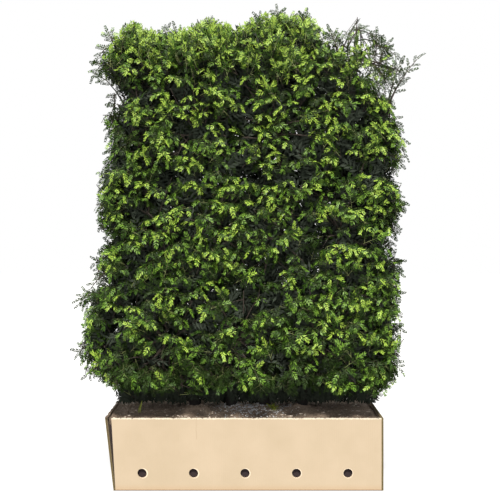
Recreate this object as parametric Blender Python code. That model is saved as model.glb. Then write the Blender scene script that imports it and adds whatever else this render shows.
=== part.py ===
"""English yew clipped into an upright block, growing in a long cardboard box.

The box stands on z = 0. Its length lies along X, and its punched front faces -Y.
Four stems fan out of the compost in the plane y = 0. Boughs from the outer two
carry the foliage of both ends. Every mass of foliage keeps to a space of its own.
"""
import math
import random

import bmesh
import bpy
from mathutils import Matrix, Vector
from mathutils.bvhtree import BVHTree

CLEARANCE = 0.0003

# The box: one folded sheet makes its front, floor and back, and two panels close its ends.
BOX_LENGTH = 1.0
BOX_DEPTH = 0.35
BOX_HEIGHT = 0.27
SHEET = 0.007
HOLE_COUNT = 5
HOLE_DIAMETER = 0.034
HOLE_SIDES = 12
HOLE_PITCH = 0.19
HOLE_SHIFT = -0.011
HOLE_HEIGHT = 0.065
FRONT_EDGE_FLARE = 0.013
LEFT_PANEL_LEAN = 0.032

# The compost: level where the stems stand, lower along the box's walls.
SOIL_TOP = 0.262
SOIL_DROP = 0.014
SOIL_SHOULDER = 0.03
SOIL_BULGE = 0.008

# The four stems: where each foot and each tip stands along the box.
STEM_FEET = (-0.20, -0.06, 0.06, 0.20)
STEM_TIPS = (-0.42, -0.18, 0.13, 0.42)
STEM_SWAY = (0.004, -0.005, 0.005, -0.004)
STEM_SWAYS = 1.5
STEM_TOP = 1.55
STEM_RADIUS = 0.017
STEM_TIP_RADIUS = 0.0045
STEM_CURVE = 0.8
FLARE_RADIUS = 0.014
FLARE_FADE = 0.03
FLARE_RINGS = (0.0, 0.025, 0.07, 0.16)
UPPER_RINGS = 5
STEM_SIDES = 8

# The boughs: one tapering limb from an outer stem to each room at the crown's ends.
BOUGH_RADIUS = 0.0085
BOUGH_TIP_RADIUS = 0.006
BOUGH_KNEE = 0.02
BOUGH_SAG = 0.008
BOUGH_SIDES = 6
BOUGH_ROOT_SHARE = 0.075
LIMB_CREASE = 50.0

# The crown's outline from the front, as (height, reach) for its two ends.
LEFT_REACH = (
    (0.33, 0.54), (0.39, 0.66), (0.48, 0.69), (0.71, 0.67), (0.77, 0.58), (0.84, 0.61),
    (0.92, 0.57), (1.05, 0.62), (1.17, 0.60), (1.33, 0.56), (1.38, 0.59), (1.47, 0.54),
    (1.57, 0.63), (1.69, 0.585), (1.79, 0.50),
)
RIGHT_REACH = (
    (0.33, 0.54), (0.40, 0.60), (0.62, 0.61), (0.83, 0.60), (0.91, 0.56), (1.05, 0.625),
    (1.16, 0.59), (1.28, 0.625), (1.45, 0.575), (1.60, 0.62), (1.64, 0.70), (1.70, 0.70),
    (1.71, 0.58), (1.79, 0.48),
)
# Its outline along the top, as (place along the box, height).
TOP_OUTLINE = (
    (-0.60, 1.67), (-0.53, 1.77), (-0.43, 1.79), (-0.32, 1.74), (-0.15, 1.80), (-0.05, 1.78),
    (0.08, 1.825), (0.22, 1.81), (0.30, 1.77), (0.42, 1.80), (0.54, 1.73), (0.68, 1.68),
)
# Its reach to the front and back, which is less past these places and towards these limits.
HALF_DEPTH = 0.215
DEPTH_WAVE = 0.012
END_ROUNDING = 0.30
END_STARTS, END_STOPS = 0.42, 0.62
TOP_ROUNDING = 0.25
TOP_STARTS, TOP_STOPS = 1.58, 1.80

# The spaces: three storeys in front of and behind the stems, caps above, and both ends.
SLOT = 0.033
STOREY_HEIGHTS = (0.345, 0.77, 1.17, 1.545)
STOREY_SLOPES = (0.0, 0.07, -0.06, 0.0)
STOREY_EDGES = (
    (-0.465, -0.17, 0.10, 0.465),
    (-0.465, -0.24, 0.01, 0.24, 0.465),
    (-0.465, -0.31, -0.06, 0.27, 0.465),
)
CAP_EDGES = (-0.62, -0.32, -0.05, 0.30, 0.69)
CAP_NAMES = ("left", "left_middle", "right_middle", "right")
LEFT_LEVELS = (0.335, 0.765, 0.925, 1.21, 1.545)
RIGHT_LEVELS = (0.335, 0.61, 0.91, 1.165, 1.545)
BACK_SHIFT = 0.045
SPACE_GAP = 0.003

# A mass: one stem, twigs that branch from it, toothed sprays on them and a smaller core.
CORE_INSET = {
    "front": 0.055, "back": 0.055, "west": 0.065, "east": 0.065, "top": 0.065, "bottom": 0.03,
}
CORE_GAP = 0.0015
CORE_DOME = 0.22
CORE_LUMPS = 0.10
TWIG_SPACING = 0.112
AIM_SCATTER = 0.3
TWIG_RADIUS = 0.0045
MASS_STEM_RADIUS = 0.006
MASS_STEM_KNEE = 0.03
MASS_STEM_SIDES = 5
MASS_ROOT_SHARE = 0.175
UPRIGHT_ABOVE = 1.4
DROOPING_SHARE = 0.7
SIDEWAYS = 1.1
SPRAY_LEAN = 0.07
LONG_SHOOTS = {
    "foliage_top_right": [("east", Vector((0.695, -0.04, 1.672)))],
    "foliage_top_left": [("west", Vector((-0.635, -0.03, 1.575)))],
    "foliage_left_1": [("west", Vector((-0.69, 0.02, 0.48)))],
}
SPRAY_SINK = 0.010
SPRAY_OUTLINE = ((0.0, 0.0), (0.38, 0.32), (0.50, 0.15), (0.72, 0.24), (1.0, 0.0))
SPRAY_THICKNESS = 0.05
SEED = 27
SEED_TRIES = 8
WELD = 0.000005


def clear_scene():
    for item in list(bpy.data.objects):
        bpy.data.objects.remove(item, do_unlink=True)


def plain_material(name, colour, roughness):
    """A Principled material of one colour."""
    material = bpy.data.materials.new(name)
    material.use_nodes = True
    shader = material.node_tree.nodes["Principled BSDF"]
    shader.inputs["Base Color"].default_value = (*colour, 1.0)
    shader.inputs["Roughness"].default_value = roughness
    shader.inputs["Metallic"].default_value = 0.0
    material.diffuse_color = (*colour, 1.0)
    return material


def mesh_object(name, bm, material=None, collection=None):
    """A new object that takes over the bmesh, with its faces pointing out."""
    bmesh.ops.recalc_face_normals(bm, faces=bm.faces)
    mesh = bpy.data.meshes.new(name)
    bm.to_mesh(mesh)
    bm.free()
    if material:
        mesh.materials.append(material)
    item = bpy.data.objects.new(name, mesh)
    (collection or bpy.context.scene.collection).objects.link(item)
    return item


def along(outline, place):
    """The value of a polyline outline at one place, straight between its points."""
    if place <= outline[0][0]:
        return outline[0][1]
    for (start, low), (end, high) in zip(outline, outline[1:]):
        if place <= end:
            return low + (high - low) * (place - start) / (end - start)
    return outline[-1][1]


# The box and its compost.

def loft(bm, rings):
    """Join rings of equal length by quads and close both ends."""
    loops = [[bm.verts.new(point) for point in ring] for ring in rings]
    count = len(loops[0])
    for lower, upper in zip(loops, loops[1:]):
        for i in range(count):
            j = (i + 1) % count
            bm.faces.new((lower[i], lower[j], upper[j], upper[i]))
    bm.faces.new(list(reversed(loops[0])))
    bm.faces.new(loops[-1])


def folded_sheet(material):
    """Front, floor and back of the box in one folded sheet, with the punched holes."""
    half_length = BOX_LENGTH / 2 - SHEET - CLEARANCE
    outer = BOX_DEPTH / 2
    inner = outer - SHEET
    profile = (
        (-outer, 0.0), (outer, 0.0), (outer, BOX_HEIGHT), (inner, BOX_HEIGHT),
        (inner, SHEET), (-inner, SHEET), (-inner, BOX_HEIGHT), (-outer, BOX_HEIGHT),
    )
    bm = bmesh.new()
    left_end = [
        (-half_length - FRONT_EDGE_FLARE * height / BOX_HEIGHT * (y < 0), y, height)
        for y, height in profile
    ]
    right_end = [(half_length, y, height) for y, height in profile]
    loft(bm, (left_end, right_end))
    sheet = mesh_object("box_folded_sheet", bm, material)
    cutters = bpy.data.collections.new("hole_punches")
    bpy.context.scene.collection.children.link(cutters)
    for index in range(HOLE_COUNT):
        x = (index - (HOLE_COUNT - 1) / 2) * HOLE_PITCH + HOLE_SHIFT
        bm = bmesh.new()
        turn = Matrix.Rotation(math.pi / 2, 4, "X")
        bmesh.ops.create_cone(
            bm, cap_ends=True, segments=HOLE_SIDES, radius1=HOLE_DIAMETER / 2,
            radius2=HOLE_DIAMETER / 2, depth=BOX_DEPTH * 1.2,
            matrix=Matrix.Translation((x, 0.0, HOLE_HEIGHT)) @ turn,
        )
        punch = mesh_object(f"hole_punch_{index + 1}", bm, None, cutters)
        punch.hide_render = True
        punch.display_type = "WIRE"
    holes = sheet.modifiers.new("holes", "BOOLEAN")
    holes.operation = "DIFFERENCE"
    holes.operand_type = "COLLECTION"
    holes.collection = cutters


def end_panel(name, side, lean, material):
    """One end of the box. Its upper edge may lean out past its lower edge."""
    outer = side * BOX_LENGTH / 2
    inner = outer - side * SHEET
    half = BOX_DEPTH / 2
    bm = bmesh.new()
    corners = ((inner, -half), (outer, -half), (outer, half), (inner, half))
    rings = [
        [(x + side * shift, y, z) for x, y in corners]
        for z, shift in ((0.0, 0.0), (BOX_HEIGHT, lean))
    ]
    loft(bm, rings)
    mesh_object(name, bm, material)


def compost(material):
    """The block of compost that fills the box, with a lower shoulder along the walls."""
    half_x = BOX_LENGTH / 2 - SHEET - CLEARANCE
    half_y = BOX_DEPTH / 2 - SHEET - CLEARANCE
    floor = SHEET + CLEARANCE
    levels = (
        (floor, 0.0, 0.0),
        (SOIL_TOP - SOIL_DROP, 0.0, SOIL_BULGE),
        (SOIL_TOP, SOIL_SHOULDER, 0.0),
    )
    rings = []
    for z, inset, bulge in levels:
        left, right = -half_x + inset - bulge, half_x - inset
        near, far = -half_y + inset, half_y - inset
        rings.append([(left, near, z), (right, near, z), (right, far, z), (left, far, z)])
    bm = bmesh.new()
    loft(bm, rings)
    mesh_object("compost", bm, material)


# The limbs: tapering tubes through a list of (centre, radius) rings.

def ring_points(centre, radius, sides, axis=None):
    """A ring of points round a centre, level unless an axis is given."""
    if axis is None:
        across, over = Vector((1, 0, 0)), Vector((0, 1, 0))
    else:
        across = axis.cross(Vector((0, 0, 1)))
        if across.length < 1e-3:
            across = Vector((1, 0, 0))
        across.normalize()
        over = axis.cross(across).normalized()
    return [
        centre + across * radius * math.cos(angle) + over * radius * math.sin(angle)
        for angle in (math.tau * i / sides for i in range(sides))
    ]


def tube(bm, points, radii, sides):
    """A tapering tube whose rings stand square to its path."""
    rings = []
    for index, (point, radius) in enumerate(zip(points, radii)):
        before = points[max(index - 1, 0)]
        after = points[min(index + 1, len(points) - 1)]
        rings.append(ring_points(point, radius, sides, (after - before).normalized()))
    loft(bm, rings)


class Stem:
    """An upright stem of level rings, which are straight between their heights."""

    def __init__(self, number):
        self.name = f"stem_{number + 1}"
        foot = SOIL_TOP + CLEARANCE
        heights = [foot + rise for rise in FLARE_RINGS]
        rest = heights[-1]
        heights += [rest + (STEM_TOP - rest) * (i + 1) / UPPER_RINGS for i in range(UPPER_RINGS)]
        fan = STEM_TIPS[number] - STEM_FEET[number]
        self.rings = []
        for z in heights:
            share = (z - foot) / (STEM_TOP - foot)
            spread = STEM_FEET[number] + fan * share ** STEM_CURVE
            sway = STEM_SWAY[number] * math.sin(share * math.tau * STEM_SWAYS)
            radius = STEM_TIP_RADIUS
            radius += (STEM_RADIUS - STEM_TIP_RADIUS) * (1 - share) ** STEM_CURVE
            radius += FLARE_RADIUS * math.exp(-(z - foot) / FLARE_FADE)
            self.rings.append((Vector((spread + sway, sway, z)), radius))

    def at(self, z):
        """Centre and radius of the stem at one height."""
        for (low, thick), (high, thin) in zip(self.rings, self.rings[1:]):
            if z <= high.z:
                share = (z - low.z) / (high.z - low.z)
                return low.lerp(high, share), thick + (thin - thick) * share
        return self.rings[-1]

    def side(self, z, way, reach):
        """A point CLEARANCE off the stem's side, for a limb that reaches up and down from z."""
        spots = []
        for height in (z - reach, z, z + reach):
            centre, radius = self.at(height)
            spots.append(centre.dot(way) + radius)
        centre, _ = self.at(z)
        return centre + way * (max(spots) - centre.dot(way) + CLEARANCE)

    def build(self, material):
        bm = bmesh.new()
        loft(bm, [ring_points(centre, radius, STEM_SIDES) for centre, radius in self.rings])
        item = mesh_object(self.name, bm, material)
        item.data.shade_smooth()
        item.data.set_sharp_from_angle(angle=math.radians(LIMB_CREASE))


def bough(name, stem, side, root_z, tip, material):
    """A limb from an outer stem's side to the space that it feeds. Returns its end."""
    way = Vector((side, 0, 0))
    root = stem.side(root_z, way, BOUGH_RADIUS)
    knee = root + way * BOUGH_KNEE
    middle = knee.lerp(tip, 0.5) - Vector((0, 0, BOUGH_SAG))
    points = [root, knee, middle, tip]
    radii = [BOUGH_RADIUS, BOUGH_RADIUS, (BOUGH_RADIUS + BOUGH_TIP_RADIUS) / 2, BOUGH_TIP_RADIUS]
    bm = bmesh.new()
    tube(bm, points, radii, BOUGH_SIDES)
    item = mesh_object(name, bm, material)
    item.data.shade_smooth()
    item.data.set_sharp_from_angle(angle=math.radians(LIMB_CREASE))
    return tip, (tip - middle).normalized()


# The crown's outline in depth, and the spaces inside it.

def depth_reach(x, z):
    """How far the crown reaches to the front and back, less at its ends and its top."""
    past_end = max(0.0, abs(x) - END_STARTS) / (END_STOPS - END_STARTS)
    past_top = max(0.0, z - TOP_STARTS) / (TOP_STOPS - TOP_STARTS)
    rounding = 1 - END_ROUNDING * past_end ** 2 - TOP_ROUNDING * past_top ** 2
    return HALF_DEPTH * rounding + DEPTH_WAVE * math.sin(9 * x + 2) * math.sin(8 * z)


def storey_level(index):
    """The sloping height between two storeys, as a function of x."""
    height, slope = STOREY_HEIGHTS[index], STOREY_SLOPES[index]
    return lambda x: height + slope * x


def fixed(value):
    """A function that gives one value everywhere."""
    return lambda *_: value


class Space:
    """The room that one mass keeps to, and which of its faces lie open to the air."""

    def __init__(self, name, west, east, front, back, floor, roof, open_faces):
        self.name = name
        self.west, self.east = west, east
        self.front, self.back = front, back
        self.floor, self.roof = floor, roof
        self.open_faces = open_faces

    def place(self, u, v, w):
        """The point at shares u, v and w of the room's width, depth and height."""
        z = 0.5 * (self.floor(0.0) + self.roof(0.0))
        x = 0.5 * (self.west(z) + self.east(z))
        z = self.floor(x) + w * (self.roof(x) - self.floor(x))
        x = self.west(z) + u * (self.east(z) - self.west(z))
        z = self.floor(x) + w * (self.roof(x) - self.floor(x))
        near, far = self.front(x, z), self.back(x, z)
        return Vector((x, near + v * (far - near), z))

    def sizes(self):
        """Width, depth and height through the middle of the room."""
        return (
            (self.place(1, 0.5, 0.5) - self.place(0, 0.5, 0.5)).length,
            (self.place(0.5, 1, 0.5) - self.place(0.5, 0, 0.5)).length,
            (self.place(0.5, 0.5, 1) - self.place(0.5, 0.5, 0)).length,
        )

    def holds(self, point):
        """True where the point lies inside the room, SPACE_GAP from its bounds."""
        x, y, z = point
        return (
            self.west(z) + SPACE_GAP <= x <= self.east(z) - SPACE_GAP
            and self.front(x, z) + SPACE_GAP <= y <= self.back(x, z) - SPACE_GAP
            and self.floor(x) + SPACE_GAP <= z <= self.roof(x) - SPACE_GAP
        )


def near_edge(x, z):
    return -depth_reach(x, z)


def far_edge(x, z):
    return depth_reach(x, z)


def crown_top(x):
    return along(TOP_OUTLINE, x)


def storey_spaces():
    """The rooms in front of and behind the stems, storey by storey."""
    for storey, front_edges in enumerate(STOREY_EDGES):
        floor, roof = storey_level(storey), storey_level(storey + 1)
        hang = ("bottom",) if storey == 0 else ()
        inner = [edge + BACK_SHIFT for edge in front_edges[1:-1]]
        back_edges = (front_edges[0], *inner, front_edges[-1])
        for column, (west, east) in enumerate(zip(front_edges, front_edges[1:])):
            yield Space(
                f"foliage_front_{storey + 1}_{column + 1}", fixed(west), fixed(east),
                near_edge, fixed(-SLOT), floor, roof, ("front", *hang),
            )
        for column, (west, east) in enumerate(zip(back_edges, back_edges[1:])):
            yield Space(
                f"foliage_back_{storey + 1}_{column + 1}", fixed(west), fixed(east),
                fixed(SLOT), far_edge, floor, roof, ("back", *hang),
            )


def cap_spaces():
    """The rooms above the stems' tips, over the whole depth."""
    for index, name in enumerate(CAP_NAMES):
        west, east = fixed(CAP_EDGES[index]), fixed(CAP_EDGES[index + 1])
        faces = ["top", "front", "back"]
        if index == 0:
            west = lambda z: -along(LEFT_REACH, z)
            faces.append("west")
        if index == len(CAP_NAMES) - 1:
            east = lambda z: along(RIGHT_REACH, z)
            faces.append("east")
        yield Space(
            f"foliage_top_{name}", west, east, near_edge, far_edge,
            fixed(STEM_TOP), crown_top, tuple(faces),
        )


def end_spaces(side):
    """The rooms at one end, from the lowest up."""
    reach = LEFT_REACH if side < 0 else RIGHT_REACH
    levels = LEFT_LEVELS if side < 0 else RIGHT_LEVELS
    word, face = ("left", "west") if side < 0 else ("right", "east")
    inner = fixed(side * STOREY_EDGES[0][-1])
    outer = lambda z: side * along(reach, z)
    west, east = (outer, inner) if side < 0 else (inner, outer)
    for index, (low, high) in enumerate(zip(levels, levels[1:])):
        faces = (face, "front", "back", "bottom") if index == 0 else (face, "front", "back")
        yield Space(
            f"foliage_{word}_{index + 1}", west, east, near_edge, far_edge,
            fixed(low), fixed(high), faces,
        )


# The masses.

OUTWARD = {
    "front": Vector((0, -1, 0)), "back": Vector((0, 1, 0)), "west": Vector((-1, 0, 0)),
    "east": Vector((1, 0, 0)), "top": Vector((0, 0, 1)), "bottom": Vector((0, 0, -1)),
}


def shares_on(face, a, b):
    """The room's shares u, v, w at a place a, b on one of its faces."""
    return {
        "front": (a, 0, b), "back": (a, 1, b), "west": (0, a, b),
        "east": (1, a, b), "top": (a, b, 1), "bottom": (a, b, 0),
    }[face]


def core_shape(space, rng):
    """A lumpy block in the room, domed behind its open faces. Returns its mesh and its centre."""
    opposite = (("west", "east"), ("front", "back"), ("bottom", "top"))
    lows, highs = [], []
    for span, (low_face, high_face) in zip(space.sizes(), opposite):
        low = CORE_INSET[low_face] if low_face in space.open_faces else CORE_GAP
        high = CORE_INSET[high_face] if high_face in space.open_faces else CORE_GAP
        scale = min(1.0, 0.7 * span / (low + high))
        lows.append(low * scale / span)
        highs.append(1 - high * scale / span)
    bm = bmesh.new()
    bmesh.ops.create_cube(bm, size=2.0)
    bmesh.ops.subdivide_edges(bm, edges=bm.edges, cuts=1, use_grid_fill=True)
    for vertex in bm.verts:
        shares = []
        for axis, c in enumerate(vertex.co):
            others = sum(abs(vertex.co[other]) for other in range(3) if other != axis)
            face = opposite[axis][c > 0]
            if abs(c) > 0.5 and face in space.open_faces:
                c *= 1 - CORE_DOME * others / 2 - CORE_LUMPS * rng.random()
            shares.append(lows[axis] + (highs[axis] - lows[axis]) * (0.5 + 0.5 * c))
        vertex.co = space.place(*shares)
    bmesh.ops.triangulate(bm, faces=bm.faces)
    heart = space.place(*(0.5 * (low + high) for low, high in zip(lows, highs)))
    return bm, heart


def spray_shape(root, tip, outward):
    """A toothed blade from root to tip, its flat side facing outward."""
    path = tip - root
    length = path.length
    ahead = path / length
    flat = outward - ahead * outward.dot(ahead)
    if flat.length < 0.1:
        flat = ahead.orthogonal()
    flat.normalize()
    side = ahead.cross(flat)
    right = [root + ahead * s * length + side * w * length for s, w in SPRAY_OUTLINE]
    left = [root + ahead * s * length - side * w * length for s, w in SPRAY_OUTLINE[1:-1]]
    outline = right + left[::-1]
    middle = root + ahead * length * 0.5
    half_thick = flat * length * SPRAY_THICKNESS / 2
    bm = bmesh.new()
    rim = [bm.verts.new(point) for point in outline]
    over, under = bm.verts.new(middle + half_thick), bm.verts.new(middle - half_thick)
    for i, vertex in enumerate(rim):
        following = rim[(i + 1) % len(rim)]
        bm.faces.new((vertex, following, over))
        bm.faces.new((following, vertex, under))
    return bm, outline


def twig_aims(space, rng):
    """Where twigs end: places spread over each open face, with the face's direction."""
    spans = dict(zip("uvw", space.sizes()))
    across = {
        "front": "uw", "back": "uw", "west": "vw", "east": "vw", "top": "uv", "bottom": "uv",
    }
    for face in space.open_faces:
        counts = [max(1, round(spans[axis] / TWIG_SPACING)) for axis in across[face]]
        if face == "bottom":
            counts = [counts[0], 1]
        for i in range(counts[0]):
            for j in range(counts[1]):
                a = (i + 0.5 + rng.uniform(-AIM_SCATTER, AIM_SCATTER)) / counts[0]
                b = (j + 0.5 + rng.uniform(-AIM_SCATTER, AIM_SCATTER)) / counts[1]
                yield face, space.place(*shares_on(face, a, b))


def lean_of(face, height, rng):
    """The way a spray leans along its face: up near the crown's top, drooping lower down."""
    turn = rng.uniform(-SIDEWAYS, SIDEWAYS)
    droops = rng.random() < DROOPING_SHARE and height < UPRIGHT_ABOVE
    lift = -1.0 if droops else 1.0
    if face in ("top", "bottom"):
        turn = rng.uniform(0, math.tau)
        return Vector((math.cos(turn), math.sin(turn), 0))
    if face in ("west", "east"):
        return Vector((0, math.sin(turn), lift * math.cos(turn)))
    return Vector((math.sin(turn), 0, lift * math.cos(turn)))


def grow_mass(space, start, heading, material):
    """Build one mass, from the next seed where its union pinches to an edge or a point."""
    for attempt in range(SEED_TRIES):
        mass = grow_from_seed(space, start, heading, material, f"{SEED} {space.name} {attempt}")
        if is_closed(mass.data):
            return
        bpy.data.objects.remove(mass, do_unlink=True)
    raise RuntimeError(f"{space.name} never closed")


def grow_from_seed(space, start, heading, material, seed):
    """One mass: its stem from the limb, its core, its twigs and their sprays, fused."""
    rng = random.Random(seed)
    pieces = bpy.data.collections.new(f"{space.name}_pieces")
    bpy.context.scene.collection.children.link(pieces)
    bm, heart = core_shape(space, rng)
    surface = BVHTree.FromBMesh(bm)
    core = mesh_object(space.name, bm, material)

    knee = start + heading * MASS_STEM_KNEE
    crook = knee.lerp(heart, 0.6)
    radii = [MASS_STEM_RADIUS * share for share in (1.0, 1.0, 0.8, 0.5)]
    bm = bmesh.new()
    tube(bm, [start, knee, crook, heart], radii, MASS_STEM_SIDES)
    mesh_object("mass_stem", bm, None, pieces)

    aims = list(twig_aims(space, rng)) + LONG_SHOOTS.get(space.name, [])
    for face, aim in aims:
        outward = OUTWARD[face]
        tip = aim - outward * 2 * SPACE_GAP
        lean = lean_of(face, aim.z, rng)
        branching = crook.lerp(heart, rng.uniform(0.2, 0.9))
        behind = tip - outward * CORE_INSET[face] - lean * SPRAY_LEAN
        reach = (behind - branching).normalized()
        leaving = surface.ray_cast(branching, reach)[0]
        if leaving is None:
            continue
        fork = leaving - reach * SPRAY_SINK
        bm, outline = spray_shape(fork - reach * TWIG_RADIUS, tip, outward)
        if not all(space.holds(point) for point in outline[1:]):
            bm.free()
            continue
        mesh_object("spray", bm, None, pieces)
        bm = bmesh.new()
        tube(bm, [branching, fork], [TWIG_RADIUS, TWIG_RADIUS * 0.7], 3)
        mesh_object("twig", bm, None, pieces)
    join_pieces(core, pieces)
    return core


def join_pieces(core, pieces):
    """Fuse the pieces to the core, and drop loose scraps and sealed hollows."""
    union = core.modifiers.new("fuse", "BOOLEAN")
    union.operation = "UNION"
    union.operand_type = "COLLECTION"
    union.collection = pieces
    union.solver = "EXACT"
    evaluated = core.evaluated_get(bpy.context.evaluated_depsgraph_get())
    fused = bpy.data.meshes.new_from_object(evaluated)
    core.modifiers.clear()
    for item in list(pieces.objects):
        bpy.data.objects.remove(item, do_unlink=True)
    bpy.data.collections.remove(pieces)

    bm = bmesh.new()
    bm.from_mesh(fused)
    bmesh.ops.dissolve_degenerate(bm, dist=WELD, edges=bm.edges)
    bmesh.ops.triangulate(bm, faces=bm.faces)
    bodies = loose_bodies(bm)
    body = max(bodies, key=signed_volume)
    spare = {face for other in bodies if other is not body for face in other}
    bmesh.ops.delete(bm, geom=list(spare), context="FACES")
    bm.to_mesh(fused)
    bm.free()
    core.data = fused


def is_closed(mesh):
    """True where the mesh is one body whose every edge and point is sound."""
    bm = bmesh.new()
    bm.from_mesh(mesh)
    edges = all(edge.is_manifold and edge.calc_length() > WELD for edge in bm.edges)
    points = all(point.is_manifold for point in bm.verts)
    bm.free()
    return edges and points


def loose_bodies(bm):
    """The mesh's faces, grouped into connected bodies."""
    left = set(bm.faces)
    bodies = []
    while left:
        front = [left.pop()]
        body = []
        while front:
            face = front.pop()
            body.append(face)
            for edge in face.edges:
                for other in edge.link_faces:
                    if other in left:
                        left.remove(other)
                        front.append(other)
        bodies.append(body)
    return bodies


def signed_volume(faces):
    """The volume that the faces enclose, negative for a hollow."""
    total = 0.0
    for face in faces:
        a, b, c = (vertex.co for vertex in face.verts)
        total += a.dot(b.cross(c)) / 6
    return total


def build():
    """Build the box, the limbs and the masses, each as its own object."""
    clear_scene()
    cardboard = plain_material("cardboard", (0.85, 0.68, 0.45), 0.9)
    dark_earth = plain_material("compost", (0.045, 0.035, 0.026), 0.95)
    bark = plain_material("bark", (0.16, 0.09, 0.06), 0.85)
    green = plain_material("foliage", (0.06, 0.12, 0.02), 0.7)

    folded_sheet(cardboard)
    end_panel("box_end_left", -1, LEFT_PANEL_LEAN, cardboard)
    end_panel("box_end_right", 1, 0.0, cardboard)
    compost(dark_earth)

    stems = [Stem(number) for number in range(len(STEM_FEET))]
    for stem in stems:
        stem.build(bark)

    for space in storey_spaces():
        way = OUTWARD[space.open_faces[0]]
        root = space.place(0.5, 0.5, MASS_ROOT_SHARE)
        stem = min(stems, key=lambda one: abs(one.at(root.z)[0].x - root.x))
        grow_mass(space, stem.side(root.z, way, MASS_STEM_RADIUS), way, green)

    for stem, space in zip(stems, cap_spaces()):
        top = stem.rings[-1][0] + Vector((0, 0, CLEARANCE))
        grow_mass(space, top, Vector((0, 0, 1)), green)

    tip_x = STOREY_EDGES[0][-1] - 1.5 * BOUGH_TIP_RADIUS
    for side, stem, word in ((-1, stems[0], "left"), (1, stems[-1], "right")):
        for index, space in enumerate(end_spaces(side)):
            root_z = space.place(0.5, 0.5, BOUGH_ROOT_SHARE).z
            tip = Vector((side * tip_x, 0.0, space.place(0.5, 0.5, 0.5).z))
            end, heading = bough(f"bough_{word}_{index + 1}", stem, side, root_z, tip, bark)
            grow_mass(space, end + heading * CLEARANCE, heading, green)


build()
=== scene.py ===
"""A clipped English yew in a long cardboard box: surfaces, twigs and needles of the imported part.

The sections follow the object as it is put together: the box, the compost, the stems and boughs,
then the crown's twigs and sprays of needles, and last the studio that it stands in.
"""
import math
import random

import bmesh
import bpy
import numpy as np
from mathutils import Matrix, Vector, noise


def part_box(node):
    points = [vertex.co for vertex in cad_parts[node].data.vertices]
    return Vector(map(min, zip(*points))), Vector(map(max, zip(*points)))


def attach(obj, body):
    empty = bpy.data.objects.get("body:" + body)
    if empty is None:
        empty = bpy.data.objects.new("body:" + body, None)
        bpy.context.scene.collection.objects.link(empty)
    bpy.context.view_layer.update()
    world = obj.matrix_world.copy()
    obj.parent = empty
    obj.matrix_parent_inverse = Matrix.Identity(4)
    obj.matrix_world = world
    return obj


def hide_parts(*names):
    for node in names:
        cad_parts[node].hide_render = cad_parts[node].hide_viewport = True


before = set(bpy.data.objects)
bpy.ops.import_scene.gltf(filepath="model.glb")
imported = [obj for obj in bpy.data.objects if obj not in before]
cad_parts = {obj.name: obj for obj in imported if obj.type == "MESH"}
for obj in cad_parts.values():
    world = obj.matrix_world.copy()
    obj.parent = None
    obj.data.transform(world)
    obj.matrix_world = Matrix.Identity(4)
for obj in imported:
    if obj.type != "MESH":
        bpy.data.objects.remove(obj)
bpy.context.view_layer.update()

# The folded sheet of the box: front, floor and back in one piece of corrugated board. The board
# is two smooth kraft liners glued to a fluted sheet, and the holes are punched through all three.

SHEET = 0.007
LINER = 0.0006
FLUTE_PITCH = 0.0079
FLUTE_STEPS = 6
FOLD_RADIUS = 0.004
RIM_CUTS = 220
RIM_WEAR = 0.0016
RIM_RIPPLES = 90
RIM_NICKS = 34
NICK_LEVEL = 0.25
RIM_TEAR = 0.0045
HOLE_DIAMETER = 0.034
HOLE_PITCH = 0.19
HOLE_SHIFT = -0.011
HOLE_HEIGHT = 0.065
HOLE_COUNT = 5
HOLE_TEAR = 0.0017
RAW_EDGE = 0.0006
CREASE_PLACE = (-0.193, 0.19)
CREASE_WIDTH = 0.0009
CREASE_WANDER = 0.010
DAMP_HEIGHT = 0.03
DAMP_SHARE = 0.45
FIBRE_SHARE = 0.22
STAIN_LEVEL = 0.66
STAIN_SHARE = 0.05
PAPER_RELIEF = 0.0004
CORE_RELIEF = 0.0003
# The liner's colours, from its plain paper to its torn and cut edges.
PAPER = {
    "plain": (0.33, 0.26, 0.18), "cloudy": (0.309, 0.246, 0.170), "clear": (0.339, 0.270, 0.192),
    "fibre": (0.33, 0.25, 0.16), "damp": (0.31, 0.20, 0.11), "stain": (0.29, 0.21, 0.13),
    # Painted shade: the bottom bend's colour is crushed orange-brown paper, darkened for the shadow
    # under the bend.
    "hole": (0.50, 0.41, 0.31), "shaded fold": (0.17, 0.090, 0.037), "rim": (0.47, 0.43, 0.34),
    "end rim": (0.16, 0.12, 0.065), "raw edge": (0.16, 0.115, 0.055),
    # Painted shade: the pressed line down the front is darkened for the shade in its groove.
    "crease shade": (0.28, 0.215, 0.145),
}
FRONT_EDGE_FLARE = 0.0155
FOLD_STEPS = 4
WALL_CUTS = 6
FLUTE_PAPER = 0.6 * LINER
END_GAP = 0.001
RIM_BAND = 0.002
PUNCH_SIDES = 40


class Wire:
    """One output in a material's nodes. Sums, products and comparisons on it add Math nodes."""

    def __init__(self, finish, socket):
        self.finish = finish
        self.socket = socket

    def maths(self, operation, other):
        return self.finish.node("ShaderNodeMath", {"operation": operation}, {0: self, 1: other})

    def __add__(self, other):
        return self.maths("ADD", other)

    def __sub__(self, other):
        return self.maths("SUBTRACT", other)

    def __mul__(self, other):
        return self.maths("MULTIPLY", other)

    def __gt__(self, other):
        return self.maths("GREATER_THAN", other)

    __radd__ = __add__


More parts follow.
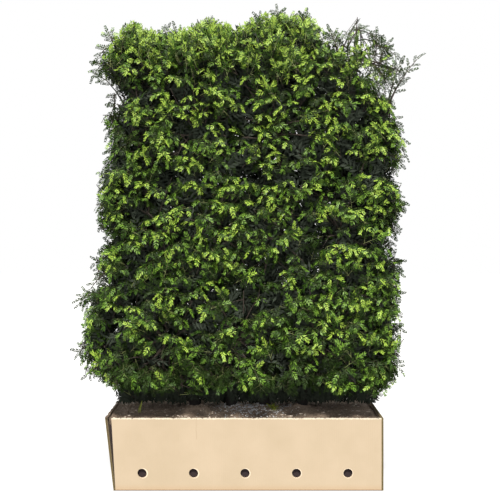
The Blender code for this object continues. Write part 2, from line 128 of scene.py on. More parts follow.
class Finish:
    """A Principled material in the making."""

    def __init__(self, name, colour, roughness, specular=0.5):
        self.material = bpy.data.materials.new(name)
        self.material.use_nodes = True
        self.nodes = self.material.node_tree.nodes
        self.shader = self.nodes["Principled BSDF"]
        self.shader.inputs["Base Color"].default_value = (*colour, 1.0)
        self.shader.inputs["Roughness"].default_value = roughness
        self.shader.inputs["Specular IOR Level"].default_value = specular
        self.material.diffuse_color = (*colour, 1.0)

    def node(self, kind, settings, values, output=0):
        """Adds one node: its settings first, then the values or links of its sockets."""
        node = self.nodes.new(kind)
        for key, value in settings.items():
            if key == "stops":
                while len(node.color_ramp.elements) < len(value):
                    node.color_ramp.elements.new(1.0)
                for element, (place, colour) in zip(node.color_ramp.elements, value):
                    element.position = place
                    element.color = (*colour, 1.0)
            else:
                setattr(node, key, value)
        for key, value in values.items():
            if isinstance(value, Wire):
                self.material.node_tree.links.new(value.socket, node.inputs[key])
            else:
                node.inputs[key].default_value = value
        return Wire(self, node.outputs[output])

    def place(self, scale=(1.0, 1.0, 1.0)):
        """Where a point lies on the object in metres, stretched by the scale."""
        spot = self.node("ShaderNodeTexCoord", {}, {}, "Object")
        return self.node("ShaderNodeMapping", {}, {"Vector": spot, "Scale": scale})

    def axis(self, number):
        """How far a point lies along X, Y or Z on the object, in metres."""
        return self.node("ShaderNodeSeparateXYZ", {}, {0: self.place()}, number)

    def noise(self, scale, detail=3.0, stretch=(1.0, 1.0, 1.0)):
        """Smooth noise from 0 to 1, with this many features to a metre."""
        return self.node(
            "ShaderNodeTexNoise", {"noise_dimensions": "3D"},
            {"Vector": self.place(stretch), "Scale": scale, "Detail": detail},
        )

    def ramp(self, value, stops):
        """A colour for each value, through the stops."""
        return self.node("ShaderNodeValToRGB", {"stops": stops}, {0: value})

    def mix(self, share, first, second, blend="MIX"):
        """The first colour, blended with the second by a share."""
        colours = {}
        for socket, colour in ((6, first), (7, second)):
            colours[socket] = colour if isinstance(colour, Wire) else (*colour, 1.0)
        settings = {"data_type": "RGBA", "blend_type": blend}
        return self.node("ShaderNodeMix", settings, {0: share, **colours}, 2)

    def fade(self, value, start, end, most):
        """From 0 where the value is at the start, smoothly up to the most at the end."""
        return self.node(
            "ShaderNodeMapRange", {"interpolation_type": "SMOOTHSTEP"},
            {"Value": value, "From Min": start, "From Max": end, "To Min": 0.0, "To Max": most},
        )

    def feed(self, socket, wire):
        self.material.node_tree.links.new(wire.socket, self.shader.inputs[socket])

    def speckle(self, scale, dark, pale, spread=0.15, stretch=(1.0, 1.0, 1.0)):
        """Feeds the colour a dark and a pale tone by smooth noise, and gives back the noise."""
        grain = self.noise(scale, 3.0, stretch)
        self.feed("Base Color", self.ramp(grain, ((0.5 - spread, dark), (0.5 + spread, pale))))
        return grain

    def bump(self, height, depth):
        """Relief of this depth in metres, from a height between 0 and 1."""
        normal = self.node(
            "ShaderNodeBump", {}, {"Strength": 1.0, "Distance": depth, "Height": height},
        )
        self.feed("Normal", normal)


def kraft_liner(name, raw_edge):
    """Smooth pale kraft paper with fine fibres and torn rims, and perhaps a raw front edge."""
    finish = Finish(name, PAPER["plain"], 0.78, 0.3)
    height = finish.axis(2)
    fibres = finish.noise(900.0, 2.0, (1.0, 1.0, 0.15))
    clouds = finish.noise(9.0, 4.0)
    paper = finish.ramp(clouds, ((0.3, PAPER["cloudy"]), (0.7, PAPER["clear"])))
    flecked = finish.mix(fibres * FIBRE_SHARE, paper, PAPER["fibre"])
    stain = finish.noise(26.0, 5.0, (1.0, 1.0, 0.5)) > STAIN_LEVEL
    damp = finish.mix(finish.fade(height, DAMP_HEIGHT, 0.0, DAMP_SHARE), flecked, PAPER["damp"])
    stained = finish.mix(stain * STAIN_SHARE, damp, PAPER["stain"])
    length = finish.axis(0)
    aside = (length - HOLE_SHIFT).maths("PINGPONG", HOLE_PITCH / 2)
    above = height - HOLE_HEIGHT
    spread = aside * aside + above * above
    torn = (HOLE_DIAMETER / 2 + HOLE_TEAR * 0.5) ** 2 + fibres * (HOLE_DIAMETER * HOLE_TEAR)
    punched = finish.mix(spread > torn, PAPER["hole"], stained)
    # Painted shade at the bottom bend, over its crushed paper.
    folded = finish.mix(height > FOLD_RADIUS, PAPER["shaded fold"], punched)
    if raw_edge:
        inner = finish.mix(height > box_height - RIM_TEAR, folded, PAPER["end rim"])
        depth = finish.axis(1)
        rimmed = finish.mix(depth > RAW_EDGE - box_depth / 2, PAPER["raw edge"], inner)
    else:
        ragged = height + finish.noise(260.0, 3.0) * (RIM_TEAR * 2) > box_height
        rimmed = finish.mix(ragged, folded, PAPER["rim"])
        # Painted shade along the pressed line down the front panel, for the shade in its groove.
        wander = (finish.noise(30.0, 2.0) - 0.5) * CREASE_WANDER
        away = (length - CREASE_PLACE[0] + wander).maths("ABSOLUTE", 0.0)
        crease_shaded = finish.mix(away > CREASE_WIDTH, PAPER["crease shade"], rimmed)
        rimmed = finish.mix(height > CREASE_PLACE[1], rimmed, crease_shaded)
    finish.feed("Base Color", rimmed)
    flutes = finish.node(
        "ShaderNodeTexWave", {"bands_direction": "X"},
        {"Vector": finish.place(), "Scale": math.tau / FLUTE_PITCH / 20, "Distortion": 0.0},
    )
    finish.bump(flutes * 0.25 + fibres * 0.35, PAPER_RELIEF)
    return finish.material


def kraft_core(name, dark, pale):
    """Rough brown paper, as the flutes and the cut edges show it."""
    finish = Finish(name, pale, 0.92, 0.2)
    finish.bump(finish.speckle(600.0, dark, pale, 0.2), CORE_RELIEF)
    return finish.material


def fresh(add, **settings):
    """Adds a primitive with nothing else selected, and returns it in edit mode, all selected."""
    bpy.ops.object.select_all(action="DESELECT")
    add(**settings)
    bpy.ops.object.mode_set(mode="EDIT")
    bpy.ops.mesh.select_all(action="SELECT")
    return bpy.context.object


def unit_grid(columns, rows):
    """A square grid of size 1 in edit mode, all selected."""
    return fresh(
        bpy.ops.mesh.primitive_grid_add, x_subdivisions=columns, y_subdivisions=rows, size=1.0,
    )


def faced_out():
    """Turns all faces of the mesh in edit mode outwards, and leaves edit mode."""
    bpy.ops.mesh.select_all(action="SELECT")
    bpy.ops.mesh.normals_make_consistent(inside=False)
    bpy.ops.object.mode_set(mode="OBJECT")


def select_edges(piece, test):
    """Selects the edges in edit mode whose two ends pass the test."""
    bpy.ops.mesh.select_all(action="DESELECT")
    bpy.ops.mesh.select_mode(type="EDGE")
    bm = bmesh.from_edit_mesh(piece.data)
    for edge in bm.edges:
        edge.select_set(test(*(vertex.co for vertex in edge.verts)))
    bm.select_flush_mode()
    bmesh.update_edit_mesh(piece.data)


def applied(piece, kind, **settings):
    """Gives the piece a modifier and applies it."""
    bpy.ops.object.mode_set(mode="OBJECT")
    bpy.ops.object.select_all(action="DESELECT")
    piece.select_set(True)
    bpy.context.view_layer.objects.active = piece
    modifier = piece.modifiers.new(kind.lower(), kind)
    for key, value in settings.items():
        setattr(modifier, key, value)
    bpy.ops.object.modifier_apply(modifier=modifier.name)


def joined(name, pieces):
    """Joins pieces into the first one, under a new name."""
    bpy.ops.object.select_all(action="DESELECT")
    for piece in pieces:
        piece.select_set(True)
    bpy.context.view_layer.objects.active = pieces[0]
    if len(pieces) > 1:
        bpy.ops.object.join()
    pieces[0].name = name
    pieces[0].data.name = name
    return pieces[0]


def carried(piece, slot, *nodes):
    """The piece rides with the part and stands for the nodes; the slot is not used."""
    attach(piece, "root")
    if nodes:
        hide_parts(*nodes)


def move_points(piece, where):
    """Moves every point of the piece to where the function puts it."""
    for vertex in piece.data.vertices:
        vertex.co = where(vertex.co)
    piece.data.update()


sheet_low, sheet_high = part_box("box_folded_sheet")
box_depth = sheet_high.y - sheet_low.y
box_height = sheet_high.z
half_sheet = sheet_high.x
liner_paper = kraft_liner("kraft_liner", False)
core_paper = kraft_core("kraft_core", (0.27, 0.18, 0.11), (0.55, 0.41, 0.27))


def worn(x, y):
    """How far the cut rim is worn down at one place."""
    rough = noise.noise(Vector((x * RIM_RIPPLES, y * RIM_RIPPLES, 3.0)))
    nick = max(0.0, noise.noise(Vector((x * RIM_NICKS, y * RIM_NICKS, 8.0))) - NICK_LEVEL)
    return RIM_WEAR * (0.5 + 0.5 * rough) + RIM_TEAR * nick


def trough_liner(inset):
    """One liner of the folded sheet, this far inside the sheet's outer face."""
    half = box_depth / 2 - inset
    piece = fresh(bpy.ops.mesh.primitive_plane_add, size=1.0, location=(0.0, 0.0, inset))
    bpy.ops.transform.resize(value=(2 * half_sheet, 2 * half, 1.0))
    bpy.ops.object.mode_set(mode="OBJECT")
    bpy.ops.object.transform_apply(location=True, rotation=True, scale=True)
    bpy.ops.object.mode_set(mode="EDIT")
    select_edges(piece, lambda a, b: abs(a.y - b.y) < half / 2)
    bpy.ops.mesh.extrude_region_move(
        TRANSFORM_OT_translate={"value": (0.0, 0.0, box_height - inset)},
    )
    radius = FOLD_RADIUS if inset < SHEET / 2 else FOLD_RADIUS / 2
    select_edges(piece, lambda a, b: abs(a.y - b.y) < half / 2 and a.z + b.z < box_height)
    bpy.ops.mesh.bevel(offset=radius, segments=FOLD_STEPS, affect="EDGES")
    select_edges(piece, lambda a, b: abs(a.x - b.x) > half_sheet)
    bpy.ops.mesh.subdivide(number_cuts=RIM_CUTS)
    select_edges(piece, lambda a, b: abs(a.z - b.z) > box_height / 2)
    bpy.ops.mesh.subdivide(number_cuts=WALL_CUTS)
    faced_out()
    applied(piece, "SOLIDIFY", thickness=LINER, offset=0.0)
    return piece


def flute_line(length):
    """The wave of the fluted sheet along one panel, as (along, across) from -1 to 1."""
    count = round(length / FLUTE_PITCH) * FLUTE_STEPS
    return [
        (length * (i / count - 0.5), math.sin(math.tau * i / FLUTE_STEPS))
        for i in range(count + 1)
    ]


def flute_sheet(length, low, high):
    """A standing fluted sheet along X, centred on y = 0, between two heights."""
    line = flute_line(length)
    half = SHEET / 2 - LINER
    piece = unit_grid(len(line) - 1, 2)
    bpy.ops.object.mode_set(mode="OBJECT")

    def standing(point):
        index = round((point.x + 0.5) * (len(line) - 1))
        along, across = line[min(index, len(line) - 1)]
        return Vector((along, across * half, low + (point.y + 0.5) * (high - low)))

    move_points(piece, standing)
    applied(piece, "SOLIDIFY", thickness=FLUTE_PAPER, offset=0.0)
    return piece


def punches(depth):
    """One object of round cutters of this depth, one for each hole."""
    cutters = []
    for index in range(HOLE_COUNT):
        x = (index - (HOLE_COUNT - 1) / 2) * HOLE_PITCH + HOLE_SHIFT
        bpy.ops.object.select_all(action="DESELECT")
        bpy.ops.mesh.primitive_cylinder_add(
            vertices=PUNCH_SIDES, radius=HOLE_DIAMETER / 2, depth=depth,
            location=(x, 0.0, HOLE_HEIGHT), rotation=(math.pi / 2, 0.0, 0.0),
        )
        bpy.ops.object.transform_apply(location=True, rotation=True, scale=True)
        cutters.append(bpy.context.object)
    return joined("punches", cutters)


def flared(point):
    """Leans the left edges of the front and the back out towards the rim."""
    if abs(point.y) < box_depth / 2 - 2 * SHEET:
        return point
    share = (half_sheet - point.x) / (2 * half_sheet)
    return Vector((point.x - FRONT_EDGE_FLARE * share * point.z / box_height, point.y, point.z))


def rim_worn(point):
    """Wears the cut rim."""
    if point.z < box_height - RIM_BAND:
        return point
    return Vector((point.x, point.y, point.z - worn(point.x, round(point.y, 2))))


boards = [trough_liner(LINER / 2), trough_liner(SHEET - LINER / 2)]
for board in boards:
    board.data.materials.append(liner_paper)
for side in (-1, 1):
    flutes = flute_sheet(2 * (half_sheet - END_GAP), FOLD_RADIUS, box_height)
    centre = side * (box_depth / 2 - SHEET / 2)
    move_points(flutes, lambda point: Vector((point.x, point.y + centre, point.z)))
    flutes.data.materials.append(core_paper)
    boards.append(flutes)
cutter = punches(box_depth * 1.2)
for board in boards:
    applied(board, "BOOLEAN", operation="DIFFERENCE", object=cutter, solver="FAST")
bpy.data.objects.remove(cutter)
box_sheet = joined("box_sheet", boards)
move_points(box_sheet, lambda point: rim_worn(flared(point)))
carried(box_sheet, "cardboard", "box_folded_sheet")

# The two end panels: the same corrugated board, standing outside the sheet. The left one has
# worked loose, and its upper edge leans out.

END_CUTS = 40

end_paper = kraft_liner("kraft_end_liner", True)
end_core = kraft_core("kraft_end_core", (0.06, 0.045, 0.020), (0.17, 0.135, 0.065))


def end_board(name, node, lean):
    """One end panel of corrugated board, with its upper edge leaning out."""
    low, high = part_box(node)
    side = -1 if low.x < 0 else 1
    foot = -side * (SHEET / 2) + (low.x if side < 0 else high.x) + (lean if side < 0 else 0.0)
    layers = []
    for inset in (-SHEET / 2 + LINER / 2, SHEET / 2 - LINER / 2):
        liner = fresh(bpy.ops.mesh.primitive_plane_add, size=1.0)
        bpy.ops.mesh.subdivide(number_cuts=END_CUTS)
        bpy.ops.object.mode_set(mode="OBJECT")
        move_points(liner, lambda point: Vector((
            point.x * box_depth, inset, (point.y + 0.5) * box_height,
        )))
        applied(liner, "SOLIDIFY", thickness=LINER, offset=0.0)
        liner.data.materials.append(end_paper)
        layers.append(liner)
    flutes = flute_sheet(box_depth - END_GAP, 0.0, box_height)
    flutes.data.materials.append(end_core)
    layers.append(flutes)
    board = joined(name, layers)
    move_points(board, lambda point: rim_worn(Vector((
        foot + side * lean * point.z / box_height - point.y, point.x, point.z,
    ))))
    carried(board, "cardboard", node)


left_low, left_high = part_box("box_end_left")
end_board("box_left_panel", "box_end_left", left_high.x - left_low.x - SHEET)
end_board("box_right_panel", "box_end_right", 0.0)

# The compost: dark, moist and crumbly, heaped a little along the middle and sunk at the walls.
# Crumbs, pale chips of bark and a patch of grey grit lie on it.

SOIL_COLUMNS = 260
SOIL_ROWS = 90
SOIL_LEFT = -0.518
SOIL_HEAP = 0.004
SOIL_LUMP = 0.0065
SOIL_SHOULDER = 0.03
SOIL_MOUND = 0.028
MOUND_RADIUS = 0.055
STEM_FEET = (-0.20, -0.06, 0.06, 0.20)
SOIL_SUNK = 0.006
SOIL_BANKED = 0.008
# The height below which the compost's sides take painted shade.
SHADED_SIDES_TOP = 0.244
CRUMB_DENTS = 0.35
CRUMB_STRETCH = (0.7, 0.6)
RIM_CRUMBS = 190
CRUMB_COUNT = 2600
CHIP_COUNT = 280
GRIT_COUNT = 1500
GRIT_PATCH = (0.015, 0.02, 0.15, 0.12)
# The compost's lumps: how many to a metre, their seed and their share.
SOIL_LUMPS = ((30, 1.0, 1.0), (95, 2.0, 0.6), (260, 4.0, 0.35))
SOIL_GAP = 0.001
STREWN_INSET = 0.005
PATCH_INSET = 0.010
EARTH_RELIEF = 0.002

soil_low, soil_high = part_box("compost")


def moist_earth():
    """Near-black peat with brown fibres and moist glints, with painted shade towards the front and
    on its sides.
    """
    finish = Finish("moist_earth", (0.045, 0.035, 0.026), 0.9, 0.4)
    grains = finish.noise(420.0, 6.0)
    clods = finish.noise(60.0, 4.0)
    dark = finish.ramp(grains, (
        (0.30, (0.11, 0.080, 0.060)), (0.52, (0.31, 0.240, 0.182)), (0.75, (0.64, 0.53, 0.42)),
    ))
    top = finish.mix(clods * 0.6, dark, (0.20, 0.155, 0.118))
    # Painted shade: the top grows darker towards the front rim.
    painted_front_shade = finish.fade(finish.axis(1), 0.02, -0.15, 1.0)
    shaded = finish.mix(painted_front_shade, top, (0.27, 0.24, 0.22), "MULTIPLY")
    # Painted shade: below this height the block's sides are near-black, for the shade seen through
    # the punched holes and in the gap at the left end.
    sides = finish.axis(2) > SHADED_SIDES_TOP
    finish.feed("Base Color", finish.mix(sides, (0.016, 0.008, 0.009), shaded))
    finish.bump(grains, EARTH_RELIEF)
    return finish.material


def soil_height(x, y):
    """The compost's top at one place."""
    level = soil_high.z - SOIL_HEAP
    sunk = 1 - min(soil_high.x - x, y - soil_low.y, SOIL_SHOULDER) / SOIL_SHOULDER
    banked = 1 - min(x - SOIL_LEFT, soil_high.y - y, SOIL_SHOULDER) / SOIL_SHOULDER
    level += SOIL_BANKED * banked ** 2 - SOIL_SUNK * sunk ** 2
    lumps = sum(
        share * noise.noise(Vector((x * scale, y * scale, seed)))
        for scale, seed, share in SOIL_LUMPS
    )
    heap = SOIL_HEAP * math.cos(y / soil_high.y * math.pi / 2)
    for foot in STEM_FEET:
        heap += SOIL_MOUND * math.exp(-((x - foot) ** 2 + y ** 2) / MOUND_RADIUS ** 2)
    return level + heap + SOIL_LUMP * 0.5 * lumps


def compost_block():
    """The whole block of compost: its crumbly top and its plain sides."""
    piece = unit_grid(SOIL_COLUMNS, SOIL_ROWS)
    bpy.ops.mesh.select_mode(type="EDGE")
    bpy.ops.mesh.select_all(action="DESELECT")
    bpy.ops.mesh.select_non_manifold()
    bpy.ops.mesh.extrude_region_move(TRANSFORM_OT_translate={"value": (0.0, 0.0, -1.0)})
    bpy.ops.mesh.fill()
    faced_out()
    width = soil_high.x - SOIL_GAP - SOIL_LEFT
    depth = soil_high.y - soil_low.y - 2 * SOIL_GAP

    def laid(point):
        x = SOIL_LEFT + (point.x + 0.5) * width
        y = point.y * depth
        if point.z < -0.5:
            return Vector((max(x, -half_sheet + SOIL_GAP), y, soil_low.z))
        return Vector((x, y, soil_height(x, y)))

    move_points(piece, laid)
    return piece


def crumbs(name, count, seed, size, spread, material, flat, level):
    """Many small rough lumps that lie on the compost or at another level, as one mesh."""
    rng = np.random.default_rng(seed)
    bm = bmesh.new()
    bmesh.ops.create_icosphere(bm, subdivisions=1, radius=1.0)
    bmesh.ops.triangulate(bm, faces=bm.faces)
    ball = np.array([vertex.co for vertex in bm.verts])
    faces = np.array([[vertex.index for vertex in face.verts] for face in bm.faces])
    bm.free()
    x, y = spread(rng, count)
    z = np.array([level(a, b) for a, b in zip(x, y)])
    sizes = size[0] + (size[1] - size[0]) * rng.random((count, 1)) ** 2
    rough = 1 + CRUMB_DENTS * (rng.random((count, len(ball))) - 0.5)
    level_sizes = CRUMB_STRETCH[0] + CRUMB_STRETCH[1] * rng.random((2, count))
    stretch = np.stack([*level_sizes, np.full(count, flat)], 1)
    angle = rng.random(count) * math.tau
    points = ball[None] * rough[..., None] * stretch[:, None] * sizes[:, None]
    cos, sin = np.cos(angle)[:, None], np.sin(angle)[:, None]
    turned = np.stack([
        points[..., 0] * cos - points[..., 1] * sin,
        points[..., 0] * sin + points[..., 1] * cos,
        points[..., 2],
    ], 2)
    turned += np.stack([x, y, z], 1)[:, None]
    offsets = np.arange(count)[:, None, None] * len(ball)
    return array_mesh(name, turned.reshape(-1, 3), (faces[None] + offsets).reshape(-1, 3), material)


def put_in(name, data):
    """A new object with this data, put in the scene."""
    thing = bpy.data.objects.new(name, data)
    bpy.context.scene.collection.objects.link(thing)
    return thing


def array_mesh(name, points, triangles, material):
    """A mesh object from an array of points and an array of triangles."""
    mesh = bpy.data.meshes.new(name)
    mesh.vertices.add(len(points))
    mesh.vertices.foreach_set("co", np.ascontiguousarray(points, np.float32).ravel())
    mesh.loops.add(triangles.size)
    mesh.loops.foreach_set("vertex_index", np.ascontiguousarray(triangles, np.int32).ravel())
    mesh.polygons.add(len(triangles))
    mesh.polygons.foreach_set("loop_start", np.arange(0, triangles.size, 3, dtype=np.int32))
    mesh.update(calc_edges=True)
    mesh.materials.append(material)
    return put_in(name, mesh)


def all_over(rng, count):
    """Places all over the compost."""
    half_y = soil_high.y - STREWN_INSET
    x = rng.uniform(SOIL_LEFT + STREWN_INSET, soil_high.x - STREWN_INSET, count)
    return x, rng.uniform(-half_y, half_y, count)


def along_rim(rng, count):
    """Places on the front panel's rim."""
    x = rng.uniform(-half_sheet, half_sheet, count)
    return x, (SHEET - box_depth) / 2 + rng.uniform(-SHEET, SHEET, count) * 0.4


def along_left_rim(rng, count):
    """Places on the left end panel's rim."""
    x = left_low.x + SHEET / 2 + rng.uniform(-SHEET, SHEET, count) * 0.4
    return x, rng.uniform(-box_depth / 2, box_depth / 2, count)


def rim_level(x, y):
    """The height of a panel's worn rim."""
    return box_height - worn(x, y)


def in_patch(rng, count):
    """Places in the patch of grit."""
    x, y, wide, deep = GRIT_PATCH
    limit = soil_high.y - PATCH_INSET
    return rng.normal(x, wide / 2, count), np.clip(rng.normal(y, deep / 2, count), -limit, limit)


earth = moist_earth()
chip_wood = Finish("pale_chips", (0.30, 0.21, 0.13), 0.85)
chip_wood.speckle(300.0, (0.36, 0.27, 0.20), (0.88, 0.80, 0.70), 0.2, (1.0, 0.3, 1.0))
grit_stone = Finish("grey_grit", (0.16, 0.15, 0.14), 0.85)
grit_stone.speckle(500.0, (0.22, 0.23, 0.24), (0.66, 0.68, 0.70), 0.2)
compost = compost_block()
compost.data.materials.append(earth)
carried(joined("compost_block", [compost]), "compost", "compost")
for name, *strewn in (
    ("compost_crumbs", CRUMB_COUNT, 3, (0.0015, 0.006), all_over, earth, 0.6, soil_height),
    ("spilt_crumbs", RIM_CRUMBS, 4, (0.0012, 0.0034), along_rim, earth, 0.5, rim_level),
    ("strewn_crumbs", RIM_CRUMBS, 6, (0.002, 0.0055), along_left_rim, earth, 0.6, rim_level),
    ("bark_chips", CHIP_COUNT, 5, (0.003, 0.008), all_over, chip_wood.material, 0.25, soil_height),
    ("grey_grit", GRIT_COUNT, 7, (0.0014, 0.0038), in_patch, grit_stone.material, 0.8, soil_height),
):
    carried(crumbs(name, *strewn), "compost")

# The four stems: yew wood under thin red-brown bark that peels in strips. They flare at the foot,
# fan out inside the crown, and end where the caps of foliage begin.

CLEARANCE = 0.0003
SOIL_TOP = 0.262
STEM_TIPS = (-0.42, -0.18, 0.13, 0.42)
STEM_SWAY = (0.004, -0.005, 0.005, -0.004)
STEM_SWAYS = 1.5
STEM_TOP = 1.55
STEM_RADIUS = 0.017
STEM_TIP_RADIUS = 0.0045
STEM_CURVE = 0.8
FLARE_RADIUS = 0.014
FLARE_FADE = 0.03
LIMB_SIDES = 28
STEM_RINGS = 150
STEM_SINK = 0.006
FOOT_RINGS = 0.65
BARK_RIDGE = 0.09
# The bark's relief: how fine it is round a limb and along it, and its share.
BARK_FLUTES = (1.6, 9, 1.0)
BARK_STRIPS = (5, 26, 0.7)
BARK_RELIEF = 0.0012
# The height below which the bark takes painted shade.
SHADED_FOOT = 0.33


def peeling_bark():
    """Red-brown bark with dull purple-brown scales and long cracks."""
    finish = Finish("peeling_bark", (0.16, 0.09, 0.06), 0.85, 0.3)
    strips = finish.noise(120.0, 4.0, (1.0, 1.0, 0.18))
    flakes = finish.noise(45.0, 3.0, (1.0, 1.0, 0.35))
    base = finish.ramp(strips, (
        (0.32, (0.012, 0.009, 0.007)), (0.5, (0.034, 0.022, 0.016)), (0.72, (0.085, 0.055, 0.039)),
    ))
    scaly = finish.mix(flakes * 0.6, base, (0.034, 0.028, 0.025))
    # Painted shade: the bark is near-black below this height, for the deep shade under the crown.
    finish.feed("Base Color", finish.mix(finish.axis(2) > SHADED_FOOT, (0.010, 0.008, 0.007), scaly))
    finish.bump(strips, BARK_RELIEF)
    return finish.material


def relief(angle, run, seed):
    """The bark's relief at one angle round a limb and one place along it, about 1."""
    across, over = math.cos(angle), math.sin(angle)
    return 1 + BARK_RIDGE * sum(
        share * noise.noise(Vector((across * wide, over * wide, run * tall + seed)))
        for wide, tall, share in (BARK_FLUTES, BARK_STRIPS)
    )


def limb(name, rings, path, material):
    """A grid rolled up into a limb: path(share) gives its centre, radius and two side ways."""
    piece = unit_grid(LIMB_SIDES, rings)
    bpy.ops.object.mode_set(mode="OBJECT")
    seed = len(name) * 3.7 + ord(name[-1])

    def rolled(point):
        row = (point.y + 0.5) * rings
        share = min(max((row - 1) / (rings - 2), 0.0), 1.0)
        centre, radius, across, over = path(share)
        if not 0.5 < row < rings - 0.5:
            return centre
        angle = (point.x + 0.5) * math.tau
        out = radius * relief(angle, share, seed)
        return centre + across * (out * math.cos(angle)) + over * (out * math.sin(angle))

    move_points(piece, rolled)
    bpy.ops.object.mode_set(mode="EDIT")
    bpy.ops.mesh.select_all(action="SELECT")
    bpy.ops.mesh.remove_doubles(threshold=1e-6)
    faced_out()
    bpy.ops.object.shade_smooth()
    piece.data.materials.append(material)
    return joined(name, [piece])


def stem_at(number, z):
    """Centre and radius of one stem at one height."""
    foot = SOIL_TOP + CLEARANCE
    share = min(max((z - foot) / (STEM_TOP - foot), 0.0), 1.0)
    spread = STEM_FEET[number] + (STEM_TIPS[number] - STEM_FEET[number]) * share ** STEM_CURVE
    sway = STEM_SWAY[number] * math.sin(share * math.tau * STEM_SWAYS)
    radius = STEM_TIP_RADIUS + (STEM_RADIUS - STEM_TIP_RADIUS) * (1 - share) ** STEM_CURVE
    radius += FLARE_RADIUS * math.exp(-(z - foot) / FLARE_FADE)
    return Vector((spread + sway, sway, z)), radius


def stem_path(number):
    """The path of one stem, with most of its rings near the flared foot."""
    foot = SOIL_TOP - STEM_SINK

    def path(share):
        z = foot + (STEM_TOP - foot) * ((1 - FOOT_RINGS) * share + FOOT_RINGS * share ** 2)
        centre, radius = stem_at(number, z)
        return centre, radius, Vector((1, 0, 0)), Vector((0, 1, 0))

    return path


bark = peeling_bark()
for number in range(len(STEM_FEET)):
    stem = limb(f"bark_stem_{number + 1}", STEM_RINGS, stem_path(number), bark)
    carried(stem, "bark", f"stem_{number + 1}")

# The boughs: one tapering limb from an outer stem to each room of foliage at the crown's ends.

BOUGH_RADIUS = 0.0085
BOUGH_TIP_RADIUS = 0.006
BOUGH_RINGS = 60
BOUGHS_PER_SIDE = 4
BOUGH_SINK = 0.004
BOUGH_LEVEL_SHARE = 0.08
BOUGH_SAG = 0.008


def bough_path(node):
    """A path along the middle of the bough's box, sunk a little at its root."""
    low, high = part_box(node)
    side = -1 if high.x < 0 else 1
    inner, outer = (high, low) if side < 0 else (low, high)
    root = Vector((inner.x - side * BOUGH_SINK, 0.0, low.z + BOUGH_RADIUS))
    tip = Vector((outer.x, 0.0, high.z - BOUGH_TIP_RADIUS))

    def spot(share):
        rise = max(0.0, share - BOUGH_LEVEL_SHARE) / (1 - BOUGH_LEVEL_SHARE)
        level = root.z + (tip.z - root.z) * rise
        sag = BOUGH_SAG * math.sin(math.pi * share)
        return Vector((root.x + (tip.x - root.x) * share, 0.0, level - sag))

    def path(share):
        ahead = (spot(share + 0.01) - spot(share - 0.01)).normalized()
        across = Vector((0, 1, 0))
        radius = BOUGH_RADIUS + (BOUGH_TIP_RADIUS - BOUGH_RADIUS) * share
        return spot(share), radius, across, ahead.cross(across) * -1.0

    return path


for word in ("left", "right"):
    for index in range(BOUGHS_PER_SIDE):
        node = f"bough_{word}_{index + 1}"
        carried(limb(f"bark_{node}", BOUGH_RINGS, bough_path(node), bark), "bark", node)

# The crown's rooms: the outline of the clipped block and the space that each mass fills, by the
# solids' own rule, but narrower at the lower left and at both upper corners, as the photo shows.
# One twig from a stem or bough feeds each mass.

LEFT_REACH = (
    (0.36, 0.52), (0.41, 0.64), (0.48, 0.675), (0.71, 0.66), (0.77, 0.58), (0.84, 0.61),
    (0.92, 0.57), (1.05, 0.62), (1.17, 0.60), (1.33, 0.56), (1.38, 0.585), (1.47, 0.51),
    (1.53, 0.555), (1.575, 0.615), (1.69, 0.555), (1.79, 0.46),
)
RIGHT_REACH = (
    (0.33, 0.54), (0.40, 0.60), (0.62, 0.61), (0.83, 0.60), (0.91, 0.56), (1.05, 0.625),
    (1.16, 0.59), (1.28, 0.625), (1.45, 0.575), (1.60, 0.61), (1.66, 0.59), (1.71, 0.545),
    (1.79, 0.46),
)
TOP_OUTLINE = (
    (-0.60, 1.67), (-0.53, 1.77), (-0.43, 1.79), (-0.32, 1.74), (-0.15, 1.80), (-0.05, 1.78),
    (0.08, 1.825), (0.22, 1.81), (0.30, 1.77), (0.42, 1.80), (0.54, 1.73), (0.68, 1.68),
)
HALF_DEPTH = 0.215
DEPTH_WAVE = 0.012
END_ROUNDING = 0.30
END_STARTS, END_STOPS = 0.42, 0.62
TOP_ROUNDING = 0.25
TOP_STARTS, TOP_STOPS = 1.58, 1.80
SLOT = 0.033
STOREY_HEIGHTS = (0.345, 0.77, 1.17, 1.545)
STOREY_SLOPES = (0.0, 0.07, -0.06, 0.0)
STOREY_EDGES = (
    (-0.465, -0.17, 0.10, 0.465),
    (-0.465, -0.24, 0.01, 0.24, 0.465),
    (-0.465, -0.31, -0.06, 0.27, 0.465),
)
BACK_SHIFT = 0.045
CAP_EDGES = (-0.62, -0.32, -0.05, 0.30, 0.69)
LEFT_LEVELS = (0.335, 0.765, 0.925, 1.21, 1.545)
RIGHT_LEVELS = (0.335, 0.61, 0.91, 1.165, 1.545)
MASS_ROOT_SHARE = 0.175
CROWN_FOOT = 0.272
FOOT_LEVEL = 0.296
FOOT_SLOPE = 0.19
FOOT_RISE = 0.04
CORNER_ROUNDING = 0.05
UP = Vector((0, 0, 1))
OUTWARD = {
    "front": Vector((0, -1, 0)), "back": Vector((0, 1, 0)), "west": Vector((-1, 0, 0)),
    "east": Vector((1, 0, 0)), "top": UP, "bottom": Vector((0, 0, -1)),
}


def along(outline, place):
    """The value of a polyline outline at one place, straight between its points."""
    if place <= outline[0][0]:
        return outline[0][1]
    for (start, low), (end, high) in zip(outline, outline[1:]):
        if place <= end:
            return low + (high - low) * (place - start) / (end - start)
    return outline[-1][1]


def depth_reach(x, z):
    """How far the crown reaches to the front and back, less at its ends and its top."""
    past_end = np.maximum(0.0, np.abs(x) - END_STARTS) / (END_STOPS - END_STARTS)
    past_top = np.maximum(0.0, z - TOP_STARTS) / (TOP_STOPS - TOP_STARTS)
    rounding = 1 - END_ROUNDING * past_end ** 2 - TOP_ROUNDING * past_top ** 2
    return HALF_DEPTH * rounding + DEPTH_WAVE * np.sin(9 * x + 2) * np.sin(8 * z)


